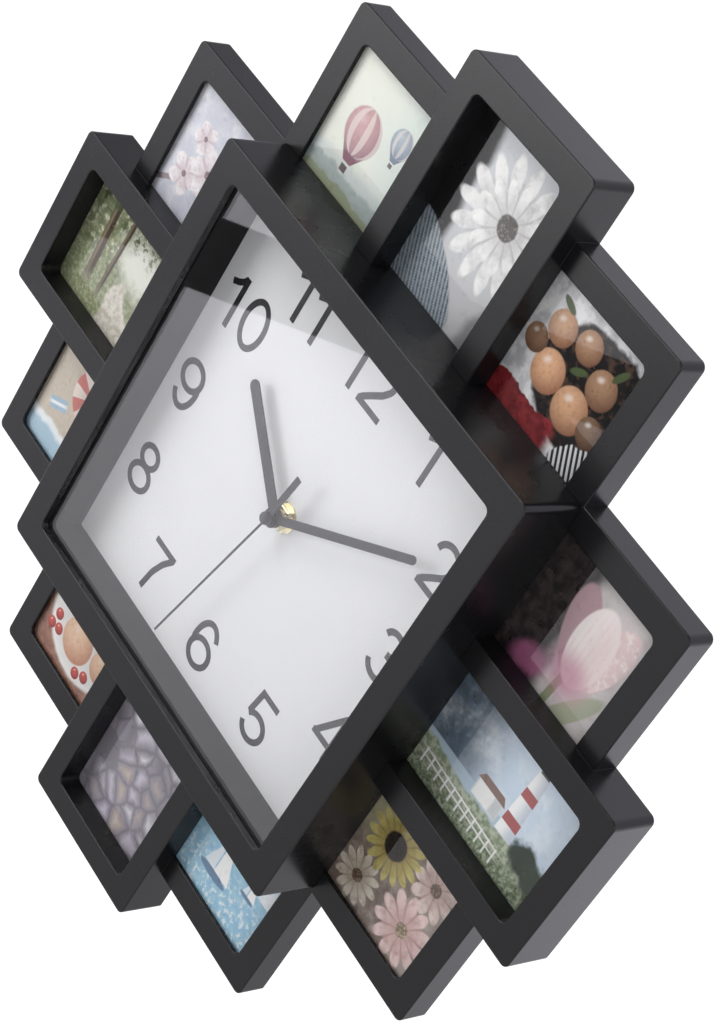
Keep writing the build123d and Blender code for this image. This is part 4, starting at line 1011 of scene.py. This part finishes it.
def make_floor():
    """A wide white floor that keeps the clock's shadow.

    Camera rays and rays through glass see it white. Mirrored rays see painted shade around the
    clock, a painted glow behind it, and the painted dark strip. Rays that bounced inside the glass
    meet that too.
    """
    build = bmesh.new()
    bmesh.ops.create_grid(build, x_segments=2, y_segments=2, size=FLOOR_SIZE)
    bmesh.ops.translate(build, verts=build.verts, vec=(0, 0, FLOOR_LEVEL))
    mesh = mesh_of(build, "floor")
    floor = placed("floor", mesh)
    nodes = Finish("floor white", Roughness=0.9, Specular_IOR_Level=0.1)
    place = nodes.here()
    path = nodes.add("LightPath").outputs
    # Mask of the painted dark strip, for mirrored rays and for rays that bounced inside the glass
    across = nodes.dot(place, STRIP_ACROSS)
    inside = nodes.times(nodes.spread(across, STRIP_FAR - STRIP_BLUR, STRIP_FAR),
                         nodes.spread(across, STRIP_NEAR + STRIP_BLUR, STRIP_NEAR))
    # Painted shade around the clock's foot and a painted glow behind it, both for mirrored rays
    # only
    near = nodes.vector("DISTANCE", place, CLOCK_FOOT, out="Value")
    painted_shade = nodes.times(nodes.spread(near, *FADE_AT_FOOT),
                       nodes.spread(nodes.dot(place, STRIP_ALONG), *FADE_ALONG_STRIP))
    behind = nodes.dot(place, BEHIND)
    glow = nodes.times(nodes.spread(behind, *GLOW_RISES), nodes.spread(behind, *GLOW_FALLS))
    lit = nodes.times(nodes.math("MAXIMUM", painted_shade, glow), nodes.outside(inside))
    bounced = nodes.math("MINIMUM", path["Glossy Depth"], 1.0)
    # Painted dark strip: the floor turns near black here, for mirrored and bounced rays only
    painted_strip = nodes.times(nodes.math("MAXIMUM", path["Is Glossy Ray"], bounced), inside)
    through = nodes.times(path["Is Transmission Ray"], nodes.outside(nodes.times(bounced, inside)))
    straight = nodes.times(nodes.math("MAXIMUM", path["Is Camera Ray"], through), FLOOR_SEEN)
    mirrored = nodes.times(path["Is Glossy Ray"], lit)
    white = nodes.blend(painted_strip, FLOOR_WHITE, PAINTED_STRIP_BLACK)
    tint = nodes.blend(path["Is Glossy Ray"], grey(1.0), COOL_WHITE)
    shine = nodes.math("MAXIMUM", straight, mirrored)
    finish = nodes.give(Base_Color=white, Emission_Color=tint, Emission_Strength=shine)
    mesh.materials.append(finish)


def make_world():
    """Walls and ceiling.

    Camera rays and rays through glass see them white, and they light everything evenly. Mirrored
    rays see them dark above eye level, apart from the right side behind the clock.
    """
    world = bpy.data.worlds.new("studio")
    scene.world = world
    world.use_nodes = True
    nodes = Nodes(world.node_tree)
    world.node_tree.nodes.clear()
    path = nodes.add("LightPath").outputs
    way = nodes.add("TexCoord").outputs["Generated"]
    overhead = nodes.spread(nodes.dot(way, OVERHEAD_BEHIND), *OVERHEAD_SHADE)
    upper = nodes.spread(nodes.dot(way, UP), *ABOVE_EYE_LEVEL)
    aside = nodes.spread(nodes.dot(way, RIGHT_BEHIND), *RIGHT_SHADE)
    walls = nodes.times(overhead, nodes.blend(upper, grey(1.0), aside))
    straight = nodes.math("MAXIMUM", path["Is Camera Ray"], path["Is Transmission Ray"])
    mirrored = nodes.times(path["Is Glossy Ray"], walls)
    rest = nodes.times(nodes.outside(path["Is Glossy Ray"]), WALLS_LIGHT)
    level = nodes.math("MAXIMUM", straight, nodes.plus(mirrored, rest))
    white = nodes.blend(path["Is Glossy Ray"], grey(1.0), COOL_WHITE)
    light = nodes.add("Background", {"Color": white, "Strength": level})
    nodes.put(nodes.add("OutputWorld").inputs[0], light.outputs[0])


def make_lamps():
    """Square soft boxes that face the clock."""
    for name, place, size, power in SOFT_BOXES:
        lamp = bpy.data.lights.new(name, "AREA")
        lamp.size = size
        lamp.energy = power
        held = placed(name, lamp)
        held.location = place
        held.rotation_euler = (AXIS - Vector(place)).to_track_quat("-Z", "Y").to_euler()


def make_camera():
    """The photograph's view, found from the straight edges of the clock in it."""
    lens = bpy.data.cameras.new("camera")
    lens.lens = CAMERA_LENS
    lens.shift_x, lens.shift_y = CAMERA_SHIFT
    camera = placed("camera", lens)
    forward = (CAMERA_AIM - CAMERA_PLACE).normalized()
    level = forward.to_track_quat("-Z", "Y")
    camera.rotation_mode = "QUATERNION"
    camera.rotation_quaternion = level @ Matrix.Rotation(CAMERA_ROLL, 3, "Z").to_quaternion()
    camera.location = AXIS + CAMERA_PLACE
    scene.camera = camera


dress_frame()
make_prints()
for text in NUMERAL_PLACES:
    numeral(text)
make_floor()
make_world()
make_lamps()
make_camera()
scene.view_settings.view_transform = "Standard"
